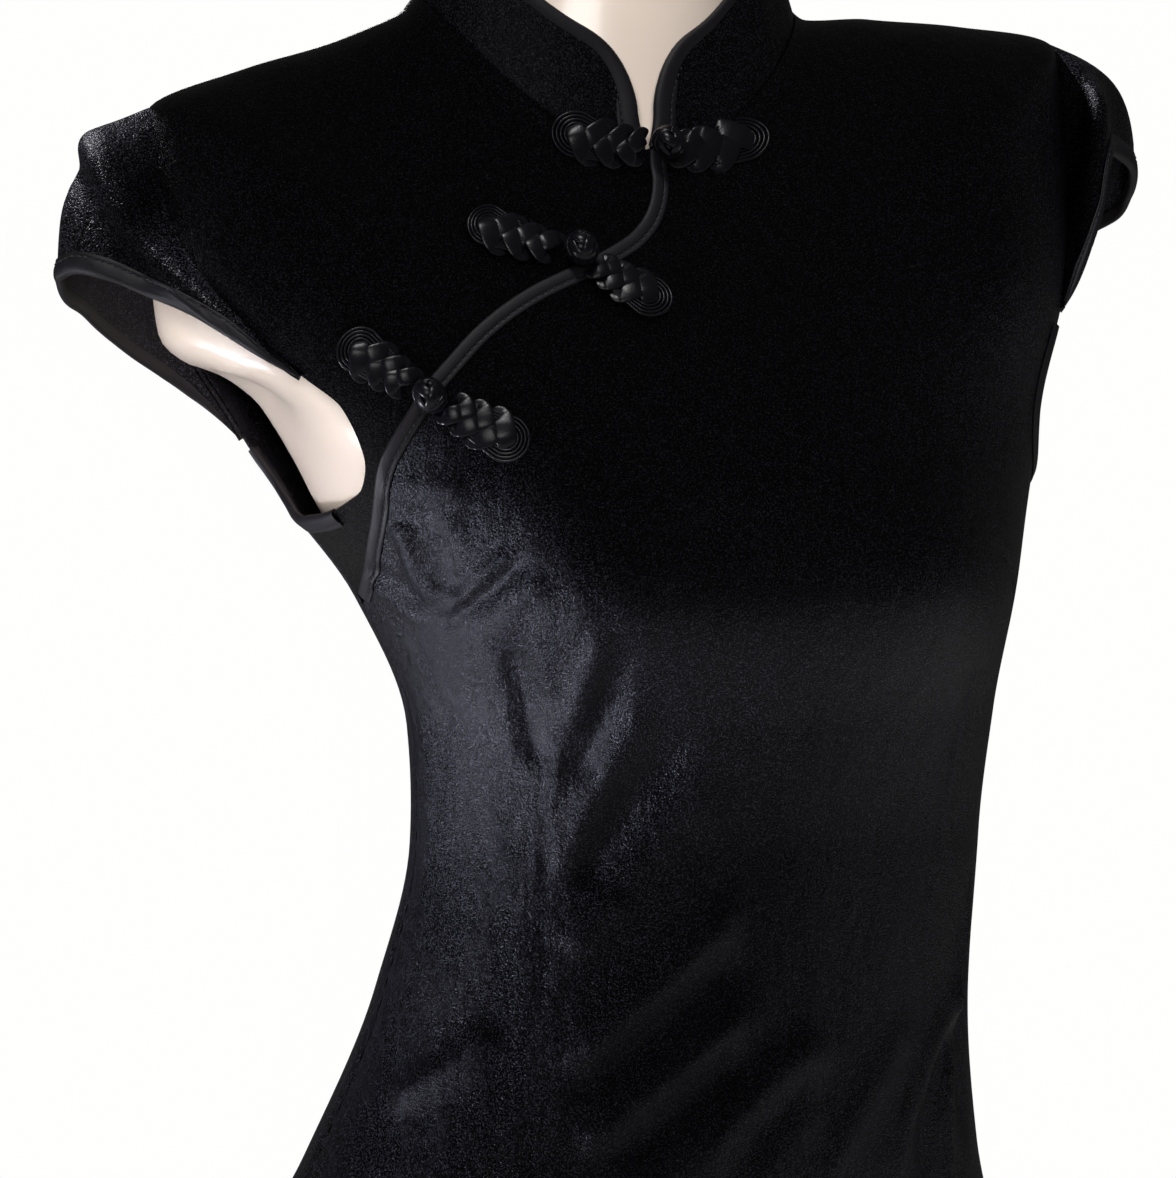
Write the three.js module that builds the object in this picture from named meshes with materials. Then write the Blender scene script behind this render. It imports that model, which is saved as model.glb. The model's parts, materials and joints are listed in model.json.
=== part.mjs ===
// A black velvet qipao with cap sleeves, on a limbless dress form that stands on a pole and a round base.
// Millimetres, +Z up. The wearer's front looks along -Y and the wearer's right side lies at -X.
// The origin is on the floor, under the middle of the round base.
import * as THREE from "three";
import { mergeVertices } from "three/addons/utils/BufferGeometryUtils.js";

// ---- Driving dimensions -------------------------------------------------------------------------
const CLOTH = 2.0; // wall of every velvet piece
const SEAM = 0.13; // half of the gap at a seam, in degrees round the body
const FORM_GAP = 3.6; // air between the cloth's inside and the dress form
const BINDING_WIDTH = 7.0;
const BINDING_THICK = 1.3;
const LIFT = 0.35; // air under a piece that lies on a panel
const HEM = 243;
const SLIT_TOP = 690;
const SLIT_AT_HEM = 5.0; // how far each panel's edge draws back from the side at the hem, in degrees
const UNDERARM = 1230;
const SHOULDER_END = 1394;
const NECK = 1530;
const OPENING_FOOT = 1193; // where the curved front opening leaves the side seam
const SLEEVE_FRONT_END = 1296;
const SLEEVE_BACK_END = 1262;
const BOUND_TO = 1237; // on the right the armhole binding ends under the front shoulder's turned edge
const FORM_FOOT = 820;
const NECK_BLOCK_TOP = 1496;
const POLE_RADIUS = 14;
const BASE_RADIUS = 185;
const BASE_HEIGHT = 16;

// The body of the garment, as rings. Each ring is an ellipse with its own front and back depth.
// ring: its name along the body (the height in mm up to the underarm); side, front, back: height there;
// x, y: its middle; wide: half width; fore, aft: depth to the front and the back; tilt: degrees, +X side up.
const BODY = [
  { ring: 243, side: 243, front: 243, back: 243, x: 0, y: 8, wide: 170, fore: 90, aft: 96, tilt: 0 },
  { ring: 690, side: 690, front: 690, back: 690, x: -4, y: 10, wide: 172, fore: 102, aft: 114, tilt: 0 },
  { ring: 810, side: 810, front: 810, back: 810, x: -4, y: 11, wide: 172, fore: 105, aft: 121, tilt: 0 },
  { ring: 870, side: 870, front: 870, back: 870, x: -1, y: 10, wide: 169, fore: 105, aft: 122, tilt: 0 },
  { ring: 920, side: 920, front: 920, back: 920, x: 6, y: 9, wide: 157, fore: 102, aft: 117, tilt: 0 },
  { ring: 960, side: 960, front: 960, back: 960, x: 13, y: 8, wide: 142, fore: 98, aft: 110, tilt: 0 },
  { ring: 1030, side: 1030, front: 1030, back: 1030, x: 24, y: 2, wide: 125, fore: 86, aft: 92, tilt: 0 },
  { ring: 1090, side: 1090, front: 1090, back: 1090, x: 32, y: -2, wide: 120, fore: 80, aft: 80, tilt: 0.3 },
  { ring: 1140, side: 1140, front: 1140, back: 1140, x: 34, y: -2, wide: 123, fore: 90, aft: 84, tilt: 1.0 },
  { ring: 1195, side: 1195, front: 1195, back: 1195, x: 28, y: 0, wide: 138, fore: 112, aft: 92, tilt: 2.0 },
  { ring: 1228, side: 1228, front: 1228, back: 1228, x: 20, y: 0, wide: 153, fore: 108, aft: 98, tilt: 2.6 },
  { ring: 1262, side: 1262, front: 1256, back: 1258, x: 9, y: 2, wide: 172, fore: 103, aft: 99, tilt: 3.0 },
  { ring: 1300, side: 1300, front: 1285, back: 1290, x: 2, y: 4, wide: 188, fore: 94, aft: 97, tilt: 3.4 },
  { ring: 1350, side: 1352, front: 1314, back: 1328, x: 0, y: 8, wide: 194, fore: 82, aft: 92, tilt: 3.6 },
  { ring: 1394, side: 1398, front: 1331, back: 1352, x: -1, y: 10, wide: 192, fore: 73, aft: 84, tilt: 4.0 },
  { ring: 1440, side: 1411, front: 1344, back: 1380, x: -2, y: 11, wide: 152, fore: 66, aft: 74, tilt: 3.5 },
  { ring: 1484, side: 1418, front: 1356, back: 1406, x: -3, y: 11, wide: 113, fore: 61, aft: 64, tilt: 2.6 },
  { ring: 1530, side: 1428, front: 1370, back: 1437, x: -4, y: 10, wide: 79, fore: 56, aft: 54, tilt: -1.4 },
  { ring: 1550, side: 1447, front: 1390, back: 1456, x: -4, y: 10, wide: 79, fore: 56, aft: 53, tilt: -1.4 },
];
// Two low swells on each side of the front: the cup that the darts shape, and the cloth in front of the
// shoulder, which is carried out to the sleeve and stands off the form.
const SWELLS = [
  { out: 84, height: 1196, rise: 15, across: 44, above: 46, below: 42 },
  { out: 160, height: 1325, rise: 15, across: 34, above: 50, below: 40 },
];

// The curved front opening, from the side seam to the middle of the neck; angle is degrees round the body.
const OPENING = [
  { ring: 1193, angle: -180 },
  { ring: 1198, angle: -174.5 },
  { ring: 1208, angle: -166 },
  { ring: 1220, angle: -158 },
  { ring: 1238, angle: -148 },
  { ring: 1256, angle: -139.5 },
  { ring: 1282, angle: -128 },
  { ring: 1301, angle: -121.5 },
  { ring: 1324, angle: -115 },
  { ring: 1350, angle: -107.5 },
  { ring: 1380, angle: -98.8 },
  { ring: 1410, angle: -93.5 },
  { ring: 1480, angle: -88.8 },
  { ring: 1530, angle: -87 },
];

// The armhole: how far its edge draws back from the side, in degrees. The two fronts differ a little,
// because the fastened opening pulls the wearer's right one inwards.
const ARMHOLE = [
  { ring: 1230, right: 0, left: 0, back: 0 },
  { ring: 1233, right: 14, left: 12, back: 12 },
  { ring: 1238, right: 23, left: 17, back: 17 },
  { ring: 1245, right: 31, left: 21, back: 21 },
  { ring: 1262, right: 38, left: 24, back: 25 },
  { ring: 1282, right: 40, left: 23, back: 27 },
  { ring: 1296, right: 36, left: 20, back: 26 },
  { ring: 1320, right: 25, left: 15, back: 20 },
  { ring: 1350, right: 13, left: 10, back: 12 },
  { ring: 1380, right: 6, left: 6, back: 6 },
  { ring: 1394, right: 0, left: 0, back: 0 },
];

// A cap sleeve's reach past the armhole seam, from its front end (0) over the shoulder to its back end (1).
// The wearer's left shoulder is carried higher, and its sleeve stands out more at the back.
const RIGHT_SLEEVE = [
  { along: 0.0, out: 0.8, drop: 0.5, forward: 0 },
  { along: 0.105, out: 2.5, drop: 8, forward: 5 },
  { along: 0.21, out: 14, drop: 28, forward: 8 },
  { along: 0.315, out: 31, drop: 55, forward: 10 },
  { along: 0.42, out: 39, drop: 66, forward: 6 },
  { along: 0.525, out: 35, drop: 65, forward: 2 },
  { along: 0.63, out: 22, drop: 43, forward: -4 },
  { along: 0.79, out: 8, drop: 17, forward: -3 },
  { along: 0.9, out: 4, drop: 6, forward: 0 },
  { along: 1.0, out: 0.8, drop: 0.5, forward: 0 },
];
const LEFT_SLEEVE = [
  { along: 0.0, out: 0.8, drop: 0.5, forward: 0 },
  { along: 0.105, out: 4, drop: 9, forward: 10 },
  { along: 0.21, out: 8, drop: 23, forward: 18 },
  { along: 0.315, out: 15, drop: 38, forward: 20 },
  { along: 0.42, out: 26, drop: 44, forward: 9 },
  { along: 0.525, out: 42, drop: 48, forward: -1 },
  { along: 0.63, out: 45, drop: 25, forward: -8 },
  { along: 0.735, out: 30, drop: 8, forward: -12 },
  { along: 0.84, out: 16, drop: 7, forward: -6 },
  { along: 0.92, out: 8, drop: 5, forward: -2 },
  { along: 1.0, out: 0.8, drop: 0.5, forward: 0 },
];

// The dress form's shoulder end: it hollows in at the armpit and swells out above it, inside the armhole.
const FORM_SWELL = [
  { ring: 1205, swell: 0 },
  { ring: 1230, swell: -5 },
  { ring: 1244, swell: -12 },
  { ring: 1257, swell: -18 },
  { ring: 1268, swell: -20 },
  { ring: 1280, swell: -14 },
  { ring: 1294, swell: 0 },
  { ring: 1308, swell: 8 },
  { ring: 1322, swell: 7 },
  { ring: 1345, swell: 3 },
  { ring: 1380, swell: 0 },
];

// The stand collar. Each half starts `gap` degrees from the middle front with an upright edge of `foot` mm,
// and its corner turns over `corner` degrees. It leans inwards, more on the wearer's left.
const COLLAR = { height: 40, foot: 14, gap: 3, corner: 18, middle: -90, lean: 0.16, leftLean: 0.15, lift: 1.0 };
const CORNER_SHAPE = { across: 2.6, up: 0.62 }; // powers of the corner's curve: it rises steeply, then rounds

// Frog closures: where the knot lies, and where the far end of each tab lies (angle, ring).
const FROGS = [
  { knot: [-86, 1534], button: [-59, 1499], loop: [-117.5, 1522] },
  { knot: [-101.5, 1384], button: [-92, 1337], loop: [-115.5, 1411] },
  { knot: [-125.2, 1288], button: [-116.8, 1263], loop: [-135.2, 1316] },
];
const TAB = { start: 8.0, narrow: 4.4, wide: 9.2, thick: 4.0, lift: 0.6, knot: 6.6 };

// ---- Tables as smooth functions -----------------------------------------------------------------
// A monotone cubic through one column of a table, so that no ring bulges past its neighbours.
function curveOf(table, key, column) {
  const at = table.map((row) => row[key]);
  const value = table.map((row) => row[column]);
  const last = at.length - 1;
  const slope = value.slice(1).map((v, i) => (v - value[i]) / (at[i + 1] - at[i]));
  const tangent = value.map((_, i) => {
    if (i === 0) return slope[0];
    if (i === last) return slope[last - 1];
    if (slope[i - 1] * slope[i] <= 0) return 0;
    const before = at[i] - at[i - 1];
    const after = at[i + 1] - at[i];
    const w1 = 2 * after + before;
    const w2 = after + 2 * before;
    return (w1 + w2) / (w1 / slope[i - 1] + w2 / slope[i]);
  });
  return (where) => {
    const s = Math.min(Math.max(where, at[0]), at[last]);
    let i = at.findIndex((edge) => edge > s) - 1;
    if (i < 0) i = last - 1;
    const length = at[i + 1] - at[i];
    const t = (s - at[i]) / length;
    const start = (2 * t ** 3 - 3 * t ** 2 + 1) * value[i] + (t ** 3 - 2 * t ** 2 + t) * length * tangent[i];
    const end = (-2 * t ** 3 + 3 * t ** 2) * value[i + 1] + (t ** 3 - t ** 2) * length * tangent[i + 1];
    return start + end;
  };
}
const columnsOf = (table, key) =>
  Object.fromEntries(Object.keys(table[0]).filter((c) => c !== key).map((c) => [c, curveOf(table, key, c)]));
const body = columnsOf(BODY, "ring");
const opening = columnsOf(OPENING, "ring").angle;
const armhole = columnsOf(ARMHOLE, "ring");
const reaches = { right: columnsOf(RIGHT_SLEEVE, "along"), left: columnsOf(LEFT_SLEEVE, "along") };
const RADIANS = Math.PI / 180;

// A point of the garment's outer face: angle -90 is the middle front, 0 the wearer's left side.
function bodyPoint(angle, ring) {
  const c = Math.cos(angle * RADIANS);
  const s = Math.sin(angle * RADIANS);
  const across = body.wide(ring) * c;
  const front = s < 0;
  let y = body.y(ring) + (front ? body.fore(ring) : body.aft(ring)) * s;
  const middle = front ? body.front(ring) : body.back(ring);
  const z = middle + (body.side(ring) - middle) * c * c + Math.tan(body.tilt(ring) * RADIANS) * across;
  if (front) {
    for (const bump of SWELLS) {
      const fall = z > bump.height ? bump.above : bump.below;
      for (const side of [-1, 1]) {
        const beside = (across - side * bump.out) / bump.across;
        const near = Math.exp(-(beside ** 2) - ((z - bump.height) / fall) ** 2);
        y -= bump.rise * near * Math.sqrt(-s);
      }
    }
  }
  return new THREE.Vector3(body.x(ring) + across, y, z);
}

// The unit normal there, pointing away from the body, and the two ways along the surface.
function bodyFrame(angle, ring) {
  const turn = bodyPoint(angle + 0.5, ring).sub(bodyPoint(angle - 0.5, ring));
  const low = Math.max(ring - 1, HEM);
  const high = Math.min(ring + 1, BODY.at(-1).ring);
  const rise = bodyPoint(angle, high).sub(bodyPoint(angle, low)).divideScalar(high - low);
  const normal = new THREE.Vector3().crossVectors(turn, rise).normalize();
  return { turn, rise, normal };
}
const offBody = (angle, ring, out) =>
  bodyPoint(angle, ring).addScaledVector(bodyFrame(angle, ring).normal, out);

// The (angle, ring) that lies at a short step from a given one, along the surface.
function slide(angle, ring, step) {
  const { turn, rise } = bodyFrame(angle, ring);
  const tt = turn.dot(turn);
  const rr = rise.dot(rise);
  const tr = turn.dot(rise);
  const st = step.dot(turn);
  const sr = step.dot(rise);
  const det = tt * rr - tr * tr;
  return [angle + (st * rr - sr * tr) / det, ring + (sr * tt - st * tr) / det];
}

// ---- Solids -------------------------------------------------------------------------------------
// A closed wall between two grids of points: outer and inner are rows of equal length.
function wall(outer, inner) {
  const rows = outer.length;
  const columns = outer[0].length;
  const points = [...outer.flat(), ...inner.flat()];
  const half = rows * columns;
  const index = [];
  const quad = (a, b, c, d) => index.push(a, b, c, a, c, d);
  for (let r = 0; r < rows - 1; r++) {
    for (let c = 0; c < columns - 1; c++) {
      const a = r * columns + c;
      quad(a, a + 1, a + columns + 1, a + columns);
      quad(half + a, half + a + columns, half + a + columns + 1, half + a + 1);
    }
  }
  for (let c = 0; c < columns - 1; c++) {
    const top = (rows - 1) * columns + c;
    quad(c + 1, c, half + c, half + c + 1);
    quad(top, top + 1, half + top + 1, half + top);
  }
  for (let r = 0; r < rows - 1; r++) {
    const left = r * columns;
    const right = left + columns - 1;
    quad(left, left + columns, half + left + columns, half + left);
    quad(right + columns, right, half + right, half + right + columns);
  }
  return solidFrom(points, index);
}

function solidFrom(points, index) {
  const geometry = new THREE.BufferGeometry();
  geometry.setAttribute("position", new THREE.Float32BufferAttribute(points.flatMap((p) => [p.x, p.y, p.z]), 3));
  geometry.setIndex(index);
  return mergeVertices(geometry, 1e-4);
}

// A grid over a piece whose left and right edges are functions of the ring.
function panel(rings, columns, leftEdge, rightEdge) {
  const sheet = (out) =>
    rings.map((ring) => {
      const left = leftEdge(ring);
      const right = rightEdge(ring);
      return Array.from({ length: columns + 1 }, (_, c) =>
        offBody(left + ((right - left) * c) / columns, ring, out));
    });
  return wall(sheet(0), sheet(-CLOTH));
}

// A strip that lies on the body along a line of (angle, ring) places, from one side step to another.
function strip(places, from, to, low, high, widthAt = () => 1, raiseAt = () => 0) {
  const cells = places.map(([angle, ring], i) => {
    const next = bodyPoint(...places[Math.min(i + 1, places.length - 1)]);
    const before = bodyPoint(...places[Math.max(i - 1, 0)]);
    const ahead = next.sub(before).normalize();
    const aside = new THREE.Vector3().crossVectors(ahead, bodyFrame(angle, ring).normal).normalize();
    const size = widthAt(i / (places.length - 1));
    const offsets = [from, (from + to) / 2, to];
    return offsets.map((step) => slide(angle, ring, aside.clone().multiplyScalar(step * size)));
  });
  const sheet = (out) =>
    cells.map((row, i) => {
      const raised = out + raiseAt(i / (places.length - 1));
      return row.map(([angle, ring]) => offBody(angle, ring, raised));
    });
  return wall(sheet(high), sheet(low));
}

// Values from a to b in equal steps, both ends included.
const steps = (a, b, count) => Array.from({ length: count + 1 }, (_, i) => a + ((b - a) * i) / count);

// ---- Materials ----------------------------------------------------------------------------------
const velvet = () => new THREE.MeshStandardMaterial({ color: 0x0b0b0e, roughness: 0.85, metalness: 0 });
const satin = () => new THREE.MeshStandardMaterial({ color: 0x16161c, roughness: 0.42, metalness: 0 });
const shell = () => new THREE.MeshStandardMaterial({ color: 0xf1dccb, roughness: 0.3, metalness: 0 });
const steel = () => new THREE.MeshStandardMaterial({ color: 0xb9bbbe, roughness: 0.3, metalness: 1 });

const qipao = new THREE.Group();
const add = (name, geometry, material) => {
  const mesh = new THREE.Mesh(geometry, material);
  mesh.name = name;
  qipao.add(mesh);
  return mesh;
};

// ---- Front, front shoulder and back -------------------------------------------------------------
const slit = (ring) => SEAM + SLIT_AT_HEM * Math.max(0, (SLIT_TOP - ring) / (SLIT_TOP - HEM)) ** 1.4;
const inArmhole = (ring) => ring > UNDERARM && ring < SHOULDER_END;
const edgeBack = (ring, column) => slit(ring) + (inArmhole(ring) ? armhole[column](ring) : 0);
const OPENING_GAP = 0.16;

const skirtRings = [...steps(HEM, SLIT_TOP, 5), ...steps(SLIT_TOP, 1180, 16).slice(1)];
const footRings = [1199, 1208, 1218, 1229.8]; // from the opening's foot to the underarm
const armRings = [
  1230.2, 1232, 1236, 1242, 1252, 1262, 1273, 1284, 1296, 1308, 1322, 1338, 1354, 1370, 1383, 1391,
];
const topRings = [...armRings, 1397, 1412, 1436, 1462, 1490, 1512, 1530];

add(
  "front",
  panel(
    [...skirtRings, OPENING_FOOT, ...footRings, ...topRings],
    14,
    (ring) => (ring <= OPENING_FOOT ? -180 + slit(ring) : opening(ring) + OPENING_GAP),
    (ring) => -edgeBack(ring, "left"),
  ),
  velvet(),
);
add(
  "front_shoulder",
  panel(
    [...footRings, ...topRings],
    8,
    (ring) => -180 + edgeBack(ring, "right"),
    (ring) => opening(ring) - OPENING_GAP,
  ),
  velvet(),
);
add(
  "back",
  panel(
    [...skirtRings, 1206, 1229.8, ...topRings],
    14,
    (ring) => edgeBack(ring, "back"),
    (ring) => 180 - edgeBack(ring, "back"),
  ),
  velvet(),
);

// ---- Cap sleeves --------------------------------------------------------------------------------
// The armhole seam as (angle, ring) places, from the sleeve's front end over the shoulder to its back end.
const ARM_MIDDLE = 1312;
const SLEEVE_INSET = 0.989; // the seam shrunk towards the armhole's middle, which leaves the sewing gap
// How far a rib's two guide points go: out and down from the seam, then up and in from the hem.
const GUIDE = { out: 0.8, down: 0.12, up: 0.75, in: 0.03 };
function armPlace(side, column, ring, shrink) {
  const draw = armhole[column](ring) * shrink * (column === "back" ? 1 : -1);
  const angle = side > 0 ? draw : 180 - draw;
  return [angle > 180 ? angle - 360 : angle, ARM_MIDDLE + (ring - ARM_MIDDLE) * shrink];
}
function sleeveSeam(side, shrink) {
  const column = side > 0 ? "left" : "right";
  const ringsFrom = (end) => armRings.filter((ring) => ring >= end);
  const from = (end, edge) => ringsFrom(end).map((ring) => armPlace(side, edge, ring, shrink));
  const over = [armPlace(side, column, SHOULDER_END, shrink)];
  return [...from(SLEEVE_FRONT_END, column), ...over, ...from(SLEEVE_BACK_END, "back").reverse()];
}

// A cap sleeve's face: each rib leaves the seam outwards, bends over and drops to the hem.
const RIB = [0, 0.2, 0.45, 0.7, 1]; // shares of a rib's length, from the seam to the hem
const HEM_RIBS = [0.9, 0.96, 1]; // the part that the binding covers
function sleevePoint(side, place, along, t) {
  const seam = bodyPoint(...place);
  const sleeve = side > 0 ? reaches.left : reaches.right;
  const drop = sleeve.drop(along);
  const reach = new THREE.Vector3(side * sleeve.out(along), -sleeve.forward(along), 0);
  const hem = seam.clone().add(reach).add(new THREE.Vector3(0, 0, -drop));
  const first = seam.clone().addScaledVector(reach, GUIDE.out).add(new THREE.Vector3(0, 0, -drop * GUIDE.down));
  const second = hem.clone().add(new THREE.Vector3(0, 0, drop * GUIDE.up)).addScaledVector(reach, -GUIDE.in);
  const u = 1 - t;
  return seam.multiplyScalar(u ** 3)
    .addScaledVector(first, 3 * u * u * t)
    .addScaledVector(second, 3 * u * t * t)
    .addScaledVector(hem, t ** 3);
}
const sleeveSpan = (places) => places.map((place, i) => ({ place, along: i / (places.length - 1) }));
function sleeveFrame(side, span, i, t) {
  const at = (k, s) => sleevePoint(side, span[k].place, span[k].along, s);
  const ahead = at(Math.min(i + 1, span.length - 1), t).sub(at(Math.max(i - 1, 0), t));
  const down = at(i, Math.min(t + 0.05, 1)).sub(at(i, Math.max(t - 0.05, 0)));
  const normal = new THREE.Vector3().crossVectors(down, ahead).normalize().multiplyScalar(side);
  return { point: at(i, t), normal };
}
function sleeveSheet(side, out, ribs) {
  const span = sleeveSpan(sleeveSeam(side, SLEEVE_INSET));
  const rows = span.map((_, i) =>
    ribs.map((t) => {
      const { point, normal } = sleeveFrame(side, span, i, t);
      return point.addScaledVector(normal, out);
    }));
  return side > 0 ? rows : rows.map((row) => [...row].reverse());
}
for (const [name, side] of [["right", -1], ["left", 1]]) {
  add("sleeve_" + name, wall(sleeveSheet(side, 0, RIB), sleeveSheet(side, -CLOTH, RIB)), velvet());
  const low = sleeveSheet(side, LIFT, HEM_RIBS);
  add("sleeve_binding_" + name, wall(sleeveSheet(side, LIFT + BINDING_THICK, HEM_RIBS), low), satin());
}

// ---- Collar -------------------------------------------------------------------------------------
const fromMiddle = (angle) => Math.min(Math.abs(angle - COLLAR.middle), 360 - Math.abs(angle - COLLAR.middle));
function cornerHeight(turned) {
  const away = Math.min(Math.max((turned - COLLAR.gap) / COLLAR.corner, 0), 1);
  return COLLAR.foot + (COLLAR.height - COLLAR.foot) * (1 - (1 - away) ** CORNER_SHAPE.across) ** CORNER_SHAPE.up;
}
const collarHeight = (angle) => cornerHeight(fromMiddle(angle));
function collarPoint(angle, share, out) {
  const foot = bodyPoint(angle, NECK);
  const axis = new THREE.Vector3(body.x(NECK), body.y(NECK), foot.z);
  const away = foot.clone().sub(axis);
  const size = away.length();
  const height = collarHeight(angle);
  const lean = COLLAR.lean + COLLAR.leftLean * Math.cos(angle * RADIANS);
  away.multiplyScalar((size - lean * height * share + out) / size);
  return axis.add(away).add(new THREE.Vector3(0, 0, COLLAR.lift + height * share));
}
const cornerTurns = [0, 0.9, 2.2, 4.4, 5.4, 9, 13, COLLAR.corner];
const collarStart = COLLAR.middle + COLLAR.gap;
const collarEnd = collarStart + 360 - COLLAR.gap * 2;
const collarAngles = [
  ...cornerTurns.map((turn) => collarStart + turn),
  ...steps(collarStart + COLLAR.corner, collarEnd - COLLAR.corner, 30).slice(1, -1),
  ...cornerTurns.map((turn) => collarEnd - turn).reverse(),
];
const collarRow = (v, out) => collarAngles.map((angle) => collarPoint(angle, v(angle), out));
const collarSheet = (shares, out) => shares.map((v) => collarRow(v, out));
const level = (v) => () => v;
// The binding covers the upright front edge to the foot, then follows the top edge round the corner.
const UPRIGHT = 5; // its width on the front edge, in degrees
function bindingFoot(angle) {
  const inner = fromMiddle(angle) - UPRIGHT;
  return inner < COLLAR.gap ? 0 : Math.max(0, (cornerHeight(inner) - BINDING_WIDTH) / collarHeight(angle));
}
const collarShares = [level(0), level(0.5), level(1)];
add("collar", wall(collarSheet(collarShares, 0), collarSheet(collarShares, -CLOTH)), velvet());
const bindingShares = [bindingFoot, level(1)];
add(
  "collar_binding",
  wall(collarSheet(bindingShares, LIFT + BINDING_THICK), collarSheet(bindingShares, LIFT)),
  satin(),
);

// ---- Bindings of the opening and of the lower armholes ------------------------------------------
const openingRings = [...steps(1197, 1300, 9), ...steps(1300, 1522, 12).slice(1)];
const openingPlaces = openingRings.map((ring) => [opening(ring), ring]);
const openingStrip = strip(openingPlaces, -BINDING_WIDTH / 2, BINDING_WIDTH / 2, LIFT, LIFT + BINDING_THICK);
add("opening_binding", openingStrip, satin());

const boundRings = [1289, 1278, 1267, 1257, 1248, 1242, 1238, 1235, 1233.4, 1232.6, 1231.9, 1231.3, 1230.7];
const backFoot = boundRings.filter((ring) => ring < SLEEVE_BACK_END - 3).reverse();
for (const [name, side] of [["right", -1], ["left", 1]]) {
  const places = [
    ...boundRings.filter((ring) => side > 0 || ring <= BOUND_TO)
      .map((ring) => armPlace(side, side > 0 ? "left" : "right", ring, 1)),
    armPlace(side, "back", UNDERARM, 1),
    ...backFoot.map((ring) => armPlace(side, "back", ring, 1)),
  ].map(([angle, ring]) => [side < 0 && angle < 0 ? angle + 360 : angle, ring]);
  const sign = side > 0 ? 1 : -1;
  const across = [0.4 * sign, (0.4 + BINDING_WIDTH) * sign];
  const [from, to] = side > 0 ? across : [across[1], across[0]];
  add("armhole_binding_" + name, strip(places, from, to, LIFT, LIFT + BINDING_THICK), satin());
}

// ---- Frog closures ------------------------------------------------------------------------------
// A tab widens from the knot to a round end; the knot is a ball that sits over the opening.
const tabWidth = (t) => {
  const end = t > 0.8 ? Math.sqrt(Math.max(1 - ((t - 0.8) / 0.2) ** 2, 0.02)) : 1;
  return (TAB.narrow + (TAB.wide - TAB.narrow) * Math.min(t / 0.8, 1)) * end;
};
// Its end at the knot climbs over the opening's binding.
const overBinding = (t) => (BINDING_THICK + LIFT) * Math.min(1, Math.max(0, (0.55 - t) / 0.3));
function tab(knot, far) {
  const start = bodyPoint(...knot);
  const length = bodyPoint(...far).distanceTo(start);
  const places = steps(TAB.start / length, 1, 9).map((t) => [
    knot[0] + (far[0] - knot[0]) * t,
    knot[1] + (far[1] - knot[1]) * t,
  ]);
  return strip(places, -1, 1, TAB.lift, TAB.lift + TAB.thick, tabWidth, overBinding);
}
FROGS.forEach((frog, i) => {
  const name = "frog_" + (i + 1);
  add(name + "_button_tab", tab(frog.knot, frog.button), satin());
  add(name + "_loop_tab", tab(frog.knot, frog.loop), satin());
  const ball = new THREE.SphereGeometry(TAB.knot, 16, 10);
  ball.deleteAttribute("normal");
  ball.deleteAttribute("uv");
  const knot = add(name + "_knot", mergeVertices(ball, 1e-4), satin());
  knot.position.copy(offBody(...frog.knot, TAB.knot + LIFT * 1.3 + BINDING_THICK));
});

// ---- Dress form, pole and base ------------------------------------------------------------------
// The form follows the garment's inside; its neck ends in a low dome and its foot is flat.
const FORM_SIDES = 36;
const turns = steps(-180, 180, FORM_SIDES).slice(0, -1);
const inside = -(CLOTH + FORM_GAP);
const formRings = [FORM_FOOT, 870, 920, 970, 1020, 1060, 1100, 1140, 1175, 1205, 1230, 1244, 1257, 1268, 1280,
  1294, 1308, 1326, 1350, 1378, 1394, 1410, 1436, 1464, 1494, 1516];
const swell = curveOf(FORM_SWELL, "ring", "swell");
const SWELL_FOCUS = { hollow: 8, swell: 24 }; // powers of the cosine: how closely it keeps to the side
const formOut = (angle, ring) => {
  const focus = swell(ring) < 0 ? SWELL_FOCUS.hollow : SWELL_FOCUS.swell;
  return inside + swell(ring) * Math.cos(angle * RADIANS) ** focus;
};
const formRows = formRings.map((ring) => turns.map((angle) => offBody(angle, ring, formOut(angle, ring))));
// The neck's foot dips at the front and rises behind; the neck stands a little forward of the ring's middle.
const NECK_SLOPE = { front: -60, back: 12, shift: 4 };
const NECK_ROWS = [
  { height: 1429, wide: 56, deep: 41, rise: 0.5 },
  { height: 1452, wide: 51, deep: 39, rise: 0.15 },
  { height: 1478, wide: 49, deep: 41, rise: 0 },
  { height: 1490, wide: 42, deep: 36, rise: 0 },
  { height: NECK_BLOCK_TOP, wide: 24, deep: 22, rise: 0 },
];
for (const row of NECK_ROWS) {
  formRows.push(turns.map((angle) => {
    const c = Math.cos(angle * RADIANS);
    const s = Math.sin(angle * RADIANS);
    const slope = row.rise * (s < 0 ? NECK_SLOPE.front : NECK_SLOPE.back) * s * s;
    const middle = body.y(NECK) - NECK_SLOPE.shift;
    return new THREE.Vector3(body.x(NECK) + row.wide * c, middle + row.deep * s, row.height + slope);
  }));
}
function tube(rows) {
  const sides = rows[0].length;
  const points = rows.flat();
  const index = [];
  for (let r = 0; r < rows.length - 1; r++) {
    for (let k = 0; k < sides; k++) {
      const a = r * sides + k;
      const b = r * sides + ((k + 1) % sides);
      index.push(a, b, b + sides, a, b + sides, a + sides);
    }
  }
  for (const [row, up] of [[0, false], [rows.length - 1, true]]) {
    const middle = points.length;
    points.push(rows[row].reduce((sum, p) => sum.add(p), new THREE.Vector3()).divideScalar(sides));
    for (let k = 0; k < sides; k++) {
      const a = row * sides + k;
      const b = row * sides + ((k + 1) % sides);
      index.push(...(up ? [a, b, middle] : [b, a, middle]));
    }
  }
  return solidFrom(points, index);
}
add("dress_form", tube(formRows), shell());

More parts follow.
